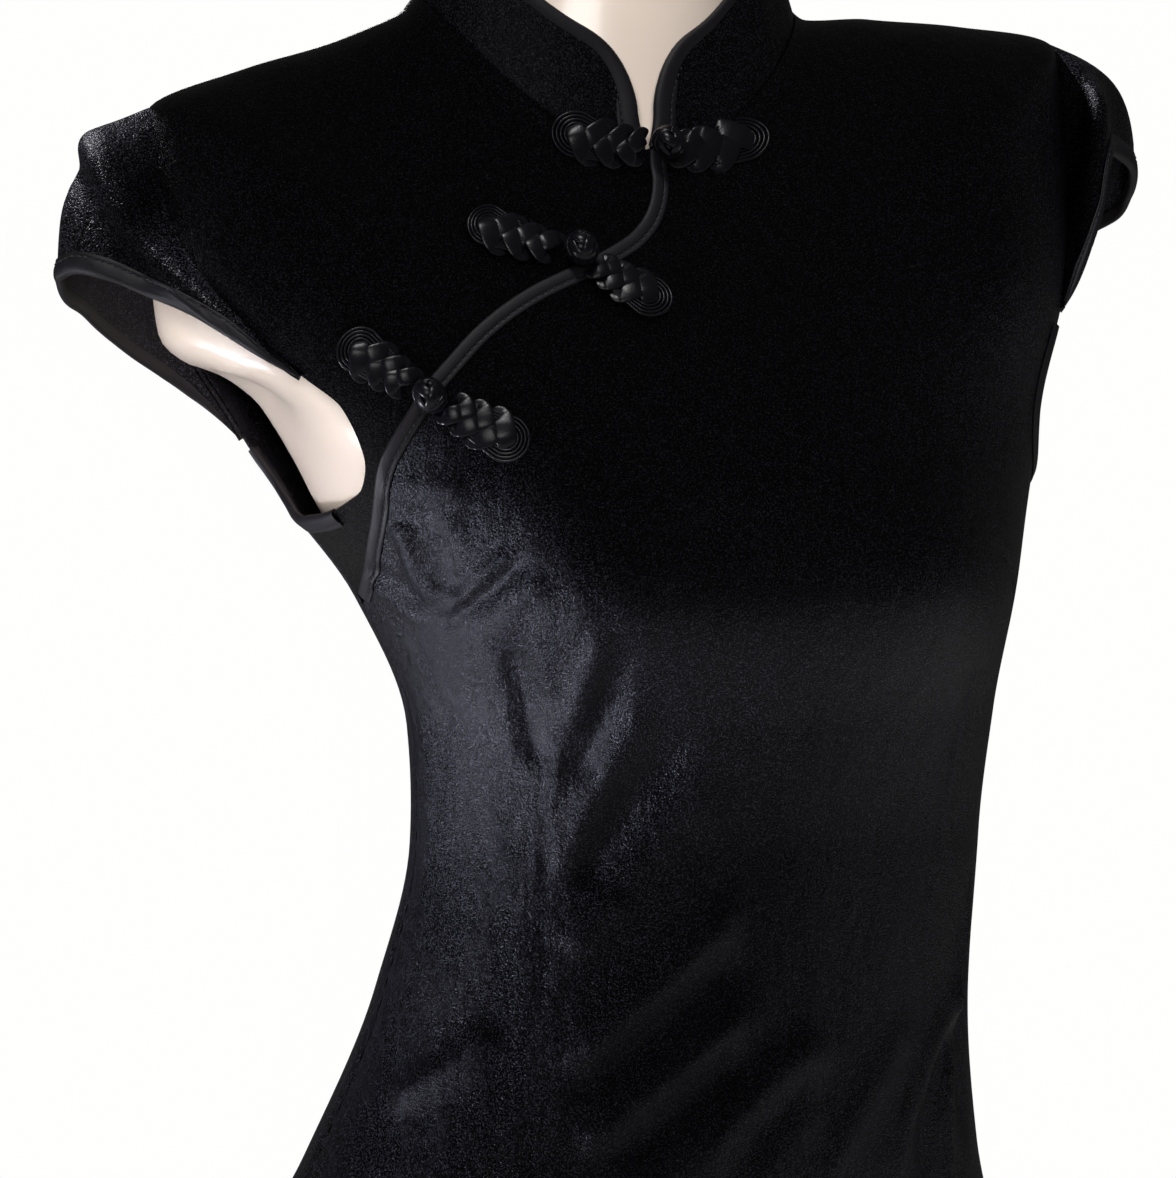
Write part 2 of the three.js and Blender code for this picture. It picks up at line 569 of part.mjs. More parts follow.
const lathe = (profile, sides) => {
  const geometry = new THREE.LatheGeometry(profile.map(([x, y]) => new THREE.Vector2(x, y)), sides);
  geometry.deleteAttribute("normal");
  geometry.deleteAttribute("uv");
  geometry.rotateX(Math.PI / 2);
  return mergeVertices(geometry, 1e-4);
};
const POLE_FOOT = BASE_HEIGHT + 10 + 0.3;
const SOCKET_RADIUS = 26;
add("base", lathe([
  [0, 0],
  [BASE_RADIUS, 0],
  [BASE_RADIUS, 5],
  [BASE_RADIUS - 6, 9],
  [SOCKET_RADIUS + 14, BASE_HEIGHT],
  [SOCKET_RADIUS, BASE_HEIGHT + 10],
  [0, BASE_HEIGHT + 10],
], 48), steel());
add("pole", lathe([
  [0, POLE_FOOT],
  [POLE_RADIUS, POLE_FOOT],
  [POLE_RADIUS, FORM_FOOT - 14],
  [POLE_RADIUS + 16, FORM_FOOT - 8],
  [POLE_RADIUS + 16, FORM_FOOT - 0.3],
  [0, FORM_FOOT - 0.3],
], 32), steel());

export default qipao;
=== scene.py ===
"""Looks for a black velvet qipao worn by a limbless dress form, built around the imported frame.

Sizes are in millimetres and are turned into metres where a mesh is made. Angle 0 is the wearer's left
side, -90 the middle front; a ring is a level along the body, as in the part's own tables.
"""
import json
import math

import bpy
import numpy as np
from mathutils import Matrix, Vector

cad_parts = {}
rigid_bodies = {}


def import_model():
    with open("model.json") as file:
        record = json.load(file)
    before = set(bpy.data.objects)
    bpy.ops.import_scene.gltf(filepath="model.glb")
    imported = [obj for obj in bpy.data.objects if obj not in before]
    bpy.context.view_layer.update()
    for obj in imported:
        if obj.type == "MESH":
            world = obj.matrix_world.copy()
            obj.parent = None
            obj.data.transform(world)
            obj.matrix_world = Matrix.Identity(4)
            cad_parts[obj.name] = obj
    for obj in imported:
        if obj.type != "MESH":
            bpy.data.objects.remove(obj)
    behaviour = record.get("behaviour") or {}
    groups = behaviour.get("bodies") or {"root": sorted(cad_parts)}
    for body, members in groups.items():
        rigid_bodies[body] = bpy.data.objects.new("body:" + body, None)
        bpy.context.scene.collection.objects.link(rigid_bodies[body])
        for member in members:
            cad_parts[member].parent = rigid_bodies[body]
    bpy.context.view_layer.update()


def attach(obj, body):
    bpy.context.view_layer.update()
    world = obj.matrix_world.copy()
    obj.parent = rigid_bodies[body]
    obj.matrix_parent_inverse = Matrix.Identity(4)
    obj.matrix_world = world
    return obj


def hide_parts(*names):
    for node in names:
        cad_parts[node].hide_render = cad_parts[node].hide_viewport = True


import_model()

# ---- Camera ---------------------------------------------------------------------------------------
# A long lens a little above the waist, from the side where the dress fastens.
CAMERA_TARGET = Vector((-0.014, 0.0, 1.192))
CAMERA_TURN = math.radians(18)
CAMERA_RISE = math.radians(4.5)
CAMERA_DISTANCE = 2.3
LENS = 173.2

back_to_camera = Vector((
    -math.sin(CAMERA_TURN) * math.cos(CAMERA_RISE),
    -math.cos(CAMERA_TURN) * math.cos(CAMERA_RISE),
    math.sin(CAMERA_RISE),
))
camera_data = bpy.data.cameras.new("camera")
camera_data.lens = LENS
camera_data.sensor_width = 36
camera_data.clip_end = 50
camera = bpy.data.objects.new("camera", camera_data)
camera.location = CAMERA_TARGET + back_to_camera * CAMERA_DISTANCE
camera.rotation_euler = back_to_camera.to_track_quat("Z", "Y").to_euler()
bpy.context.scene.collection.objects.link(camera)
bpy.context.scene.camera = camera
bpy.context.scene.view_settings.view_transform = "Standard"


# ---- Front ----------------------------------------------------------------------------------------
# The front is one stretch-velvet panel from hem to neck. It laps over the front shoulder piece along a
# curved opening, and a waist dart and a bust dart on each side shape it. Seams pull short folds from it.
BODY_COLUMNS = ("ring", "side", "front", "back", "x", "y", "wide", "fore", "aft", "tilt")
BODY = (
    (243, 243, 243, 243, 0, 8, 170, 90, 96, 0),
    (690, 690, 690, 690, -4, 10, 172, 102, 114, 0),
    (810, 810, 810, 810, -4, 11, 172, 105, 121, 0),
    (870, 870, 870, 870, -1, 10, 169, 105, 122, 0),
    (920, 920, 920, 920, 6, 9, 157, 102, 117, 0),
    (960, 960, 960, 960, 13, 8, 142, 98, 110, 0),
    (1030, 1030, 1030, 1030, 24, 2, 125, 86, 92, 0),
    (1090, 1090, 1090, 1090, 32, -2, 120, 80, 80, 0.3),
    (1140, 1140, 1140, 1140, 34, -2, 123, 90, 84, 1.0),
    (1195, 1195, 1195, 1195, 28, 0, 138, 112, 92, 2.0),
    (1228, 1228, 1228, 1228, 20, 0, 153, 108, 98, 2.6),
    (1262, 1262, 1256, 1258, 9, 2, 172, 103, 99, 3.0),
    (1300, 1300, 1285, 1290, 2, 4, 188, 94, 97, 3.4),
    (1350, 1352, 1314, 1328, 0, 8, 194, 82, 92, 3.6),
    (1394, 1398, 1331, 1352, -1, 10, 192, 73, 84, 4.0),
    (1440, 1411, 1344, 1380, -2, 11, 152, 66, 74, 3.5),
    (1484, 1418, 1356, 1406, -3, 11, 113, 61, 64, 2.6),
    (1530, 1428, 1370, 1437, -4, 10, 79, 56, 54, -1.4),
    (1550, 1447, 1390, 1456, -4, 10, 79, 56, 53, -1.4),
)
# Low swells on each side of the front: how far out, height, rise, half width, and reach up and down.
SWELLS = ((84, 1196, 15, 44, 46, 42), (160, 1325, 15, 34, 50, 40))
HEM, SLIT_TOP, UNDERARM, SHOULDER_END, NECK = 243, 690, 1230, 1394, 1530
OPENING_FOOT = 1193
OPENING = (
    (1193, -180), (1198, -174.5), (1208, -166), (1220, -158), (1238, -148), (1256, -139.5), (1282, -128),
    (1301, -121.5), (1324, -115), (1350, -107.5), (1380, -98.8), (1410, -93.5), (1480, -88.8), (1530, -87),
)
ARMHOLE_COLUMNS = ("ring", "right", "left", "back")
ARMHOLE = (
    (1230, 0, 0, 0), (1233, 14, 12, 12), (1238, 23, 17, 17), (1245, 31, 21, 21), (1262, 38, 24, 25),
    (1282, 40, 23, 27), (1296, 36, 20, 26), (1320, 25, 15, 20), (1350, 13, 10, 12), (1380, 6, 6, 6),
    (1394, 0, 0, 0),
)
SLIT_AT_HEM = 5.0
SEAM_GAP = 0.1
CLOTH = 1.4


def smooth_curve(at, value):
    """A monotone cubic through (at, value), so that nothing bulges past its neighbours."""
    at = np.asarray(at, float)
    value = np.asarray(value, float)
    step = np.diff(at)
    slope = np.diff(value) / step
    tangent = np.zeros(len(at))
    tangent[0], tangent[-1] = slope[0], slope[-1]
    for i in range(1, len(at) - 1):
        if slope[i - 1] * slope[i] > 0:
            w1 = 2 * step[i] + step[i - 1]
            w2 = step[i] + 2 * step[i - 1]
            tangent[i] = (w1 + w2) / (w1 / slope[i - 1] + w2 / slope[i])

    def curve(where):
        where = np.clip(where, at[0], at[-1])
        i = np.clip(np.searchsorted(at, where, side="right") - 1, 0, len(at) - 2)
        t = (where - at[i]) / step[i]
        start = (2 * t**3 - 3 * t**2 + 1) * value[i] + (t**3 - 2 * t**2 + t) * step[i] * tangent[i]
        end = (-2 * t**3 + 3 * t**2) * value[i + 1] + (t**3 - t**2) * step[i] * tangent[i + 1]
        return start + end

    return curve


def curves(columns, rows):
    table = np.array(rows, float)
    return {name: smooth_curve(table[:, 0], table[:, i]) for i, name in enumerate(columns) if i}


body = curves(BODY_COLUMNS, BODY)
armhole = curves(ARMHOLE_COLUMNS, ARMHOLE)
opening = curves(("ring", "angle"), OPENING)["angle"]


def body_point(angle, ring):
    """A point of the garment's outer face before its folds."""
    angle, ring = np.broadcast_arrays(np.asarray(angle, float), np.asarray(ring, float))
    c = np.cos(np.radians(angle))
    s = np.sin(np.radians(angle))
    across = body["wide"](ring) * c
    front = s < 0
    y = body["y"](ring) + np.where(front, body["fore"](ring), body["aft"](ring)) * s
    middle = np.where(front, body["front"](ring), body["back"](ring))
    z = middle + (body["side"](ring) - middle) * c * c + np.tan(np.radians(body["tilt"](ring))) * across
    for place, height, rise, width, above, below in SWELLS:
        fall = np.where(z > height, above, below)
        for side in (-1, 1):
            near = np.exp(-(((across - side * place) / width) ** 2) - ((z - height) / fall) ** 2)
            y = y - rise * near * np.sqrt(np.clip(-s, 0, 1))
    return np.stack([body["x"](ring) + across, y, z], axis=-1)


def unit(vectors):
    return vectors / np.maximum(np.linalg.norm(vectors, axis=-1, keepdims=True), 1e-9)


def body_ways(angle, ring):
    """The two ways along the surface, for one degree and for one ring, and the outward normal."""
    turn = body_point(angle + 0.5, ring) - body_point(angle - 0.5, ring)
    low = np.maximum(ring - 1, HEM)
    high = np.minimum(ring + 1, BODY[-1][0])
    rise = (body_point(angle, high) - body_point(angle, low)) / (high - low)[..., None]
    return turn, rise, unit(np.cross(turn, rise))


# Folds of the worn cloth: a line of (angle, ring) places, then height and width to each side of the line
# (left and right of its direction), in mm. Negative heights are troughs. Some are darts and seams.
FOLDS = {
    "waist dart, wearer's right": (
        ((-137, 1192), (-137, 1166), (-136, 1143), (-135, 1126), (-134, 1104), (-133, 1074), (-130, 1034),
         (-128, 1008)), -1.5, 1.2, 1.2),
    "lip beside that dart": (
        ((-135.3, 1190), (-135, 1166), (-134.3, 1143), (-133.4, 1126), (-132.2, 1104), (-131.5, 1074)),
        0.9, 2.5, 5),
    "hollow left of that dart": (
        ((-142, 1186), (-141, 1165), (-139.5, 1143), (-137.5, 1125)), -3.6, 9, 4),
    "round end of that dart": (((-144, 1188), (-140, 1192), (-137, 1184)), 1.4, 3.5, 3.5),
    "waist dart, wearer's left": (
        ((-43, 1192), (-43, 1166), (-44, 1143), (-45, 1126), (-46, 1104), (-48, 1074), (-51, 1034)),
        -1.2, 1.2, 1.2),
    "bust dart, wearer's right": (
        ((-153, 1186), (-151, 1189), (-142, 1200), (-134, 1211), (-129, 1217)), -2.2, 2.5, 3.5),
    "lip over the bust dart": (((-151, 1193), (-143, 1203), (-135, 1214)), 1.1, 4, 2.2),
    "bust dart, wearer's left": (((-25, 1186), (-32, 1195), (-45, 1210)), -1.6, 2.5, 3),
    "drag fold from the underarm": (((-146, 1232), (-148, 1226), (-152, 1211), (-152.5, 1192)), 3.4, 3.2, 5),
    "trough inside that fold": (((-141, 1228), (-145, 1212), (-148, 1199)), -2.4, 7, 6),
    "second drag fold": (((-168, 1206), (-163, 1198), (-157, 1187)), 2.6, 7, 5),
    "trough over it": (((-166, 1212), (-160, 1203), (-155, 1194)), -2.2, 5, 5),
    "armhole pull, upper": (((-146, 1243), (-138, 1246), (-129, 1244)), 2.0, 6, 8),
    "armhole pull, lower": (((-136, 1238), (-140, 1222), (-144, 1206)), 2.2, 6, 6),
    "fold above the bust dart": (((-143, 1204), (-138, 1210), (-131, 1219)), 1.6, 4, 5),
    "fold below the bust dart": (((-140, 1194), (-135, 1200), (-128, 1209)), 2.0, 5, 6),
    "first fan fold": (((-121, 1188), (-127, 1164), (-131, 1138)), 3.0, 6, 6),
    "first fan trough": (((-118, 1184), (-121.5, 1162), (-125.5, 1138), (-129, 1118)), -3.0, 6, 6),
    "second fan fold": (((-113, 1160), (-121, 1132), (-126, 1106), (-131, 1080)), 3.6, 7, 7),
    "second fan trough": (((-104, 1146), (-116, 1118), (-121, 1098), (-128, 1078)), -3.4, 8, 8),
    "third fan fold": (((-97, 1120), (-110, 1098), (-120, 1078)), 1.2, 10, 10),
    "hip fold 1": (((-126, 1052), (-122, 1066), (-116, 1080)), 1.8, 8, 8),
    "hip fold 2": (((-122, 1003), (-116, 1020), (-108, 1038), (-100, 1056), (-92, 1078)), 4.2, 8, 8),
    "trough under hip fold 2": (((-118, 996), (-108, 1018), (-99, 1036), (-92, 1056)), -3.4, 8, 8),
    "hip fold 3": (((-116, 972), (-109, 993), (-98, 1014), (-86, 1036)), 4.0, 8, 8),
    "trough under hip fold 3": (((-109, 968), (-98, 994), (-86, 1014)), -3.2, 8, 8),
    "hip fold 4": (((-98, 958), (-90, 988), (-81, 1006), (-70, 1018)), 3.6, 9, 9),
    "hip fold 5": (((-84, 956), (-80, 976), (-74, 990)), 1.6, 9, 9),
    "side fold on the right hip": (((-161, 988), (-150, 1002), (-143, 1011), (-138, 1026)), 2.8, 6, 7),
    "side fold on the left hip 1": (
        ((-29, 1032), (-34, 1022), (-44, 1004), (-52, 980), (-57, 940)), 2.6, 4, 8),
    "side trough on the left hip 1": (((-31, 1018), (-39, 1000), (-46, 976), (-50, 940)), -2.4, 6, 6),
    "side fold on the left hip 2": (((-50, 1024), (-57, 1004), (-64, 986), (-74, 950)), 1.8, 7, 8),
    "pulled side seam, left": (
        ((-22, 1080), (-27, 1050), (-33, 1020), (-37, 982), (-41, 940), (-43, 900)), 2.2, 2.5, 3.5),
    "trough behind that seam": (((-20, 1060), (-25, 1030), (-29, 1000), (-32, 950)), -2.6, 6, 6),
    "back waist fold, right": (((160, 1150), (140, 1120), (118, 1106)), 2.0, 8, 9),
    "back waist fold, left": (((22, 1146), (42, 1118), (62, 1104)), 2.0, 8, 9),
    "back waist fold, middle": (((125, 1078), (100, 1068), (70, 1072)), 1.6, 8, 9),
    "back blade fold, right": (((152, 1232), (138, 1214), (124, 1178)), 1.8, 8, 9),
    "back blade fold, left": (((30, 1232), (44, 1210), (58, 1176)), 1.6, 8, 9),
    "skirt fold, front right": (((-140, 700), (-135, 560), (-131, 400), (-128, 260)), 3.0, 22, 26),
    "skirt fold, front left": (((-48, 760), (-50, 600), (-54, 420), (-56, 260)), 3.0, 24, 22),
    "skirt fold, back": (((72, 740), (70, 560), (68, 300)), 3.0, 26, 26),
    "cloth carried out to the sleeve": (
        ((-176, 1386), (-166, 1364), (-156, 1340), (-149, 1318), (-143, 1294)), 2.5, 12, 12),
    "collar seam roll": (tuple((angle, 1524) for angle in range(-90, -271, -20)), 1.3, 3.5, 3.5),
    "collar seam roll, left": (
        tuple((angle, 1524) for angle in (-86, -70, -50, -30, -10, 10, 30, 50, 70, 90)), 1.3, 3.5, 3.5),
}
SEAMS = {
    "side seam, wearer's right": (tuple((180, ring) for ring in range(250, 1230, 40)), -1.0, 2.0, 2.0),
    "side seam, wearer's left": (tuple((0, ring) for ring in range(250, 1230, 40)), -1.0, 2.0, 2.0),
    "hem stitching": (tuple((angle, HEM + 22) for angle in range(-180, 190, 10)), -0.6, 2.0, 2.0),
}
SAMPLES_PER_SPAN = 12
# The share of a fold's length over which it fades in, and out again.
FOLD_FADE = 0.22
SLEEVE_FOLD_FADE = 0.25


def along_line(line):
    """The two columns of a line of places, sampled evenly between them."""
    knots = np.arange(len(line))
    where = np.linspace(0, len(line) - 1, SAMPLES_PER_SPAN * (len(line) - 1) + 1)
    first = np.interp(where, knots, [place[0] for place in line])
    second = np.interp(where, knots, [place[1] for place in line])
    return first, second


def faded(share, span):
    return np.clip(share / span, 0, 1) * np.clip((1 - share) / span, 0, 1)


def fold_height(points):
    """How far the folds lift each point, in mm."""
    flat = points.reshape(-1, 3)
    total = np.zeros(len(flat))
    for line, height, left, right in (*FOLDS.values(), *SEAMS.values()):
        angle, ring = along_line(line)
        path = body_point(angle, ring)
        reach = 3 * max(left, right)
        close = np.all((flat > path.min(0) - reach) & (flat < path.max(0) + reach), axis=1)
        if not close.any():
            continue
        near = flat[close]
        gap = np.linalg.norm(near[:, None] - path[None], axis=2)
        i = gap.argmin(1)
        along = np.gradient(path, axis=0)
        side = np.cross(body_ways(angle, ring)[2], along)
        signed = np.einsum("ij,ij->i", near - path[i], side[i])
        width = np.where(signed > 0, left, right)
        fade = faded(i / (len(angle) - 1), FOLD_FADE)
        fade = fade * fade * (3 - 2 * fade)
        total[close] += height * fade * np.exp(-((gap.min(1) / width) ** 2))
    return total.reshape(points.shape[:-1])


def cloth_point(angle, ring, out=0.0):
    """A point of the folded cloth, or `out` mm off it, and the outward normal there."""
    base = body_point(angle, ring)
    normal = body_ways(angle, ring)[2]
    lift = fold_height(base) + out
    return base + normal * np.asarray(lift)[..., None], normal


def grid_normals(grid):
    across = np.gradient(grid, axis=1)
    down = np.gradient(grid, axis=0)
    return unit(np.cross(across, down))


METRES_PER_MM = 0.001
# Edges of cloth, shell and steel that turn by more than this are drawn sharp.
SHARP_CLOTH, SHARP_SHELL, SHARP_STEEL = math.radians(55), math.radians(50), math.radians(35)


def mesh_object(name, points, faces, material):
    """An object from points in mm."""
    mesh = bpy.data.meshes.new(name)
    places = (np.asarray(points) * METRES_PER_MM).tolist()
    mesh.from_pydata(places, [], [tuple(int(corner) for corner in face) for face in faces])
    mesh.polygons.foreach_set("use_smooth", np.ones(len(mesh.polygons), bool))
    mesh.update()
    made = bpy.data.objects.new(name, mesh)
    bpy.context.scene.collection.objects.link(made)
    mesh.materials.append(material)
    return made


def grid_faces(rows, columns, start=0, flip=False):
    first = (np.arange(rows - 1)[:, None] * columns + np.arange(columns - 1)).ravel() + start
    quads = np.stack([first, first + 1, first + columns + 1, first + columns], axis=1)
    return quads[:, ::-1] if flip else quads


def cloth_wall(name, outer, material, thickness=CLOTH):
    """A closed wall of cloth: its outer grid, and the same grid a thickness further in."""
    rows, columns = outer.shape[:2]
    inner = outer - grid_normals(outer) * thickness
    half = rows * columns
    rim = np.concatenate([
        np.arange(columns),
        np.arange(1, rows) * columns + columns - 1,
        (rows - 1) * columns + np.arange(columns - 2, -1, -1),
        np.arange(rows - 2, 0, -1) * columns,
    ])
    following = np.roll(rim, -1)
    edges = np.stack([following, rim, rim + half, following + half], axis=1)
    faces = np.concatenate([grid_faces(rows, columns), grid_faces(rows, columns, half, True), edges])
    wall = mesh_object(name, np.concatenate([outer.reshape(-1, 3), inner.reshape(-1, 3)]), faces, material)
    wall.data.set_sharp_from_angle(angle=SHARP_CLOTH)
    return wall


# Stretch velvet: a knitted ground with a short dense pile. It is almost black face on, a lit fold turns
# blue-grey, and single fibres glint, partly through a fine bump and partly as lighter specks painted into the
# colour.
# The pile lies in slightly different ways from patch to patch.
def node(tree, kind, **settings):
    made = tree.nodes.new(kind)
    for name, value in settings.items():
        if name in made.inputs:
            made.inputs[name].default_value = value
        else:
            setattr(made, name, value)
    return made


def shader_group(name, inputs, outputs):
    """A node group with the named sockets: the group, its two ends, and the place on the piece."""
    group = bpy.data.node_groups.new(name, "ShaderNodeTree")
    for way, sockets in (("INPUT", inputs), ("OUTPUT", outputs)):
        for socket, kind in sockets.items():
            group.interface.new_socket(socket, in_out=way, socket_type="NodeSocket" + kind)
    given = node(group, "NodeGroupInput")
    out = node(group, "NodeGroupOutput")
    return group, given, out, node(group, "ShaderNodeTexCoord").outputs["Object"]


def new_material(name, **settings):
    """A material and its shader, with socket names written with underscores."""
    material = bpy.data.materials.new(name)
    material.use_nodes = True
    shader = material.node_tree.nodes["Principled BSDF"]
    for socket, value in settings.items():
        shader.inputs[socket.replace("_", " ")].default_value = value
    return material, shader


def grouped(material, group, **settings):
    """A group added to a material, with the values of its inputs."""
    made = node(material.node_tree, "ShaderNodeGroup", node_tree=group)
    for socket, value in settings.items():
        made.inputs[socket].default_value = value
    return made


def pile_group():
    """Colour, roughness and normal of a short pile. Glint is how far single fibres stand out in the bump;
    the lighter specks mixed into the colour are painted glints of single fibres.
    """
    group, given, out, place = shader_group(
        "short_pile",
        {"Ground": "Color", "Fibre": "Color", "Glint": "Float", "Brush": "Float"},
        {"Color": "Color", "Roughness": "Float", "Normal": "Vector"},
    )
    link = group.links.new
    fibres = node(group, "ShaderNodeTexNoise", Scale=1500.0, Detail=1.0, Roughness=0.6)
    brushed = node(group, "ShaderNodeTexNoise", Scale=30.0, Detail=4.0, Roughness=0.6)
    slant = node(group, "ShaderNodeMapping", Rotation=(0, math.radians(-32), 0), Scale=(1.0, 1.0, 0.36))
    link(place, slant.inputs["Vector"])
    link(place, fibres.inputs["Vector"])
    link(slant.outputs["Vector"], brushed.inputs["Vector"])
    # Where the fibre noise is high the colour turns lighter: painted glints of single fibres.
    painted_glint_speck = node(group, "ShaderNodeMapRange", **{"From Min": 0.50, "From Max": 0.74})
    link(fibres.outputs["Fac"], painted_glint_speck.inputs["Value"])
    colour = node(group, "ShaderNodeMix", data_type="RGBA")
    link(painted_glint_speck.outputs["Result"], colour.inputs["Factor"])
    link(given.outputs["Ground"], colour.inputs[6])
    link(given.outputs["Fibre"], colour.inputs[7])
    link(colour.outputs[2], out.inputs["Color"])
    sway_range = {"From Min": 0.3, "From Max": 0.7, "To Min": -0.08, "To Max": 0.08}
    sway = node(group, "ShaderNodeMapRange", **sway_range)
    link(brushed.outputs["Fac"], sway.inputs["Value"])
    rough = node(group, "ShaderNodeMath", operation="ADD")
    link(sway.outputs["Result"], rough.inputs[0])
    link(given.outputs["Brush"], rough.inputs[1])
    link(rough.outputs["Value"], out.inputs["Roughness"])
    lean = node(group, "ShaderNodeBump", Distance=0.0042, Strength=0.8)
    link(brushed.outputs["Fac"], lean.inputs["Height"])
    bump = node(group, "ShaderNodeBump", Distance=0.00045)
    link(given.outputs["Glint"], bump.inputs["Strength"])
    link(fibres.outputs["Fac"], bump.inputs["Height"])
    link(lean.outputs["Normal"], bump.inputs["Normal"])
    link(bump.outputs["Normal"], out.inputs["Normal"])
    return group


velvet, velvet_shader = new_material(
    "black_velvet", Specular_IOR_Level=0.35, Specular_Tint=(0.86, 0.86, 1.0, 1),
    Sheen_Weight=0.02, Sheen_Roughness=0.35, Sheen_Tint=(0.60, 0.60, 0.80, 1),
)
# The second colour is the lighter one of the painted fibre glints.
pile = grouped(
    velvet, pile_group(),
    Ground=(0.0012, 0.0012, 0.0018, 1), Fibre=(0.105, 0.104, 0.145, 1), Glint=1.0, Brush=0.27,
)
velvet.node_tree.links.new(pile.outputs["Color"], velvet_shader.inputs["Base Color"])
velvet.node_tree.links.new(pile.outputs["Roughness"], velvet_shader.inputs["Roughness"])
velvet.node_tree.links.new(pile.outputs["Normal"], velvet_shader.inputs["Normal"])


def slit(ring):
    """Half the width of a side slit, in degrees."""
    return SEAM_GAP + SLIT_AT_HEM * (np.maximum(0, SLIT_TOP - ring) / (SLIT_TOP - HEM)) ** 1.4


def edge_back(ring, column):
    """How far a panel's edge draws back from the side line, for the slit below and the armhole above."""
    inside = (ring > UNDERARM) & (ring < SHOULDER_END)
    return slit(ring) + np.where(inside, armhole[column](ring), 0)


def rings_between(*stops):
    """Levels from stop to stop: each (to, step) goes on from the last one."""
    levels = [float(stops[0])]
    for end, step in stops[1:]:
        count = max(1, round((end - levels[-1]) / step))
        levels.extend(np.linspace(levels[-1], end, count + 1)[1:])
    return np.array(levels)


def panel(name, rings, columns, left, right):
    share = np.linspace(0, 1, columns + 1)
    low = left(rings)[:, None]
    angle = low + (right(rings)[:, None] - low) * share
    grid = cloth_point(angle, np.repeat(rings[:, None], columns + 1, axis=1))[0]
    return cloth_wall(name, grid, velvet)


def sheet_of(piece):
    """A cloth piece, attached to the root body."""
    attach(piece, "root")


# Level and step in mm from the underarm up, finest round the bend of the armhole.
UPPER_FRONT = ((1230.1, 1.6), (1238, 0.9), (1400, 2.2), (NECK, 2.8))
front = panel(
    "front_panel",
    rings_between(HEM, (930, 9), (1192.9, 2.3), *UPPER_FRONT),
    116,
    lambda ring: np.where(ring <= OPENING_FOOT, -180 + slit(ring), opening(ring) + SEAM_GAP),
    lambda ring: -edge_back(ring, "left"),
)
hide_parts("front")
sheet_of(front)

# ---- Front shoulder -------------------------------------------------------------------------------
# The piece under the lap, on the wearer's right: velvet, from the neck and shoulder seam to the side seam.
# Its armhole edge is turned in and not bound.
front_shoulder = panel(
    "front_shoulder_panel",
    rings_between(1197, *UPPER_FRONT),
    56,
    lambda ring: -180 + edge_back(ring, "right"),
    lambda ring: opening(ring) - SEAM_GAP,
)
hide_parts("front_shoulder")
sheet_of(front_shoulder)

# ---- Back -----------------------------------------------------------------------------------------
# The back is one velvet panel, sewn to the fronts at the shoulders and down the sides to the slits.
back = panel(
    "back_panel",
    rings_between(HEM, (930, 12), (1230.1, 5), (1238, 1.2), (1400, 4), (NECK, 4)),
    84,
    lambda ring: edge_back(ring, "back"),
    lambda ring: 180 - edge_back(ring, "back"),
)
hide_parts("back")
sheet_of(back)

# ---- Cap sleeves ----------------------------------------------------------------------------------
# Each cap sleeve is one velvet piece, sewn into the upper armhole. It carries on the shoulder line, bends
# over the shoulder end and hangs free. The wearer's left one stands out behind.
SLEEVE_COLUMNS = ("along", "out", "drop", "forward")
SLEEVES = {
    "right": (
        (0, 0.8, 0.5, 0), (0.105, 2.5, 8, 5), (0.21, 14, 28, 8), (0.315, 31, 55, 10), (0.42, 39, 66, 6),
        (0.525, 35, 65, 2), (0.63, 22, 43, -4), (0.79, 8, 17, -3), (0.9, 4, 6, 0), (1, 0.8, 0.5, 0),
    ),
    "left": (
        (0, 0.8, 0.5, 0), (0.105, 4, 9, 10), (0.21, 8, 23, 18), (0.315, 15, 38, 20), (0.42, 26, 44, 9),
        (0.525, 42, 48, -1), (0.63, 45, 25, -8), (0.735, 30, 8, -12), (0.84, 16, 7, -6), (0.92, 8, 5, -2),
        (1, 0.8, 0.5, 0),
    ),
}
SIDES = {"right": -1, "left": 1}
ARM_RINGS = (1230.2, 1232, 1236, 1242, 1252, 1262, 1273, 1284, 1296, 1308, 1322, 1338, 1354, 1370, 1383, 1391)
# The sleeve is raised at its seam, in mm, so that it runs on from the shoulder without a step.
SLEEVE_RISE, SLEEVE_RISE_REACH = 1.8, 0.14
SLEEVE_ENDS = (1296, 1262)
# Sleeve folds: (along, t) places from the seam (t 0) to the hem (t 1), height, widths in mm to each side.
SLEEVE_FOLDS = {
    "right": (
        (((0.04, 0.94), (0.10, 0.84), (0.17, 0.70), (0.25, 0.57), (0.33, 0.47), (0.42, 0.38), (0.50, 0.32),
          (0.60, 0.32)), 3.0, 9, 5),
        (((0.12, 0.98), (0.17, 0.88), (0.25, 0.76), (0.33, 0.66), (0.42, 0.56), (0.50, 0.52), (0.60, 0.55)),
         -3.4, 5, 10),
        (((0.07, 0.86), (0.13, 0.74), (0.20, 0.62)), -1.2, 1.8, 1.8),
        (((0.62, 0.2), (0.60, 0.8)), 1.5, 8, 9),
    ),
    "left": (
        (((0.10, 0.3), (0.24, 0.42), (0.36, 0.66)), 1.8, 6, 8),
        (((0.14, 0.1), (0.28, 0.2), (0.42, 0.5)), -1.6, 6, 8),
        (((0.55, 0.2), (0.58, 0.8)), 1.5, 8, 9),
    ),
}


# The two handles of the curve from seam to hem: shares of the reach outwards and of the drop.
SEAM_HANDLE = (0.8, 0.12)
HEM_HANDLE = (0.03, 0.75)
EASING_STEPS = 400
# Steps along the seam and across it over which a sleeve's normal is taken.
NORMAL_ALONG, NORMAL_ACROSS = 0.004, 0.02


def arm_angle(side, column, ring):
    """The angle of an armhole's edge, on the side -1 (right) or 1 (left)."""
    draw = armhole[column](ring) * (1 if column == "back" else -1)
    return draw if side > 0 else 180 - draw


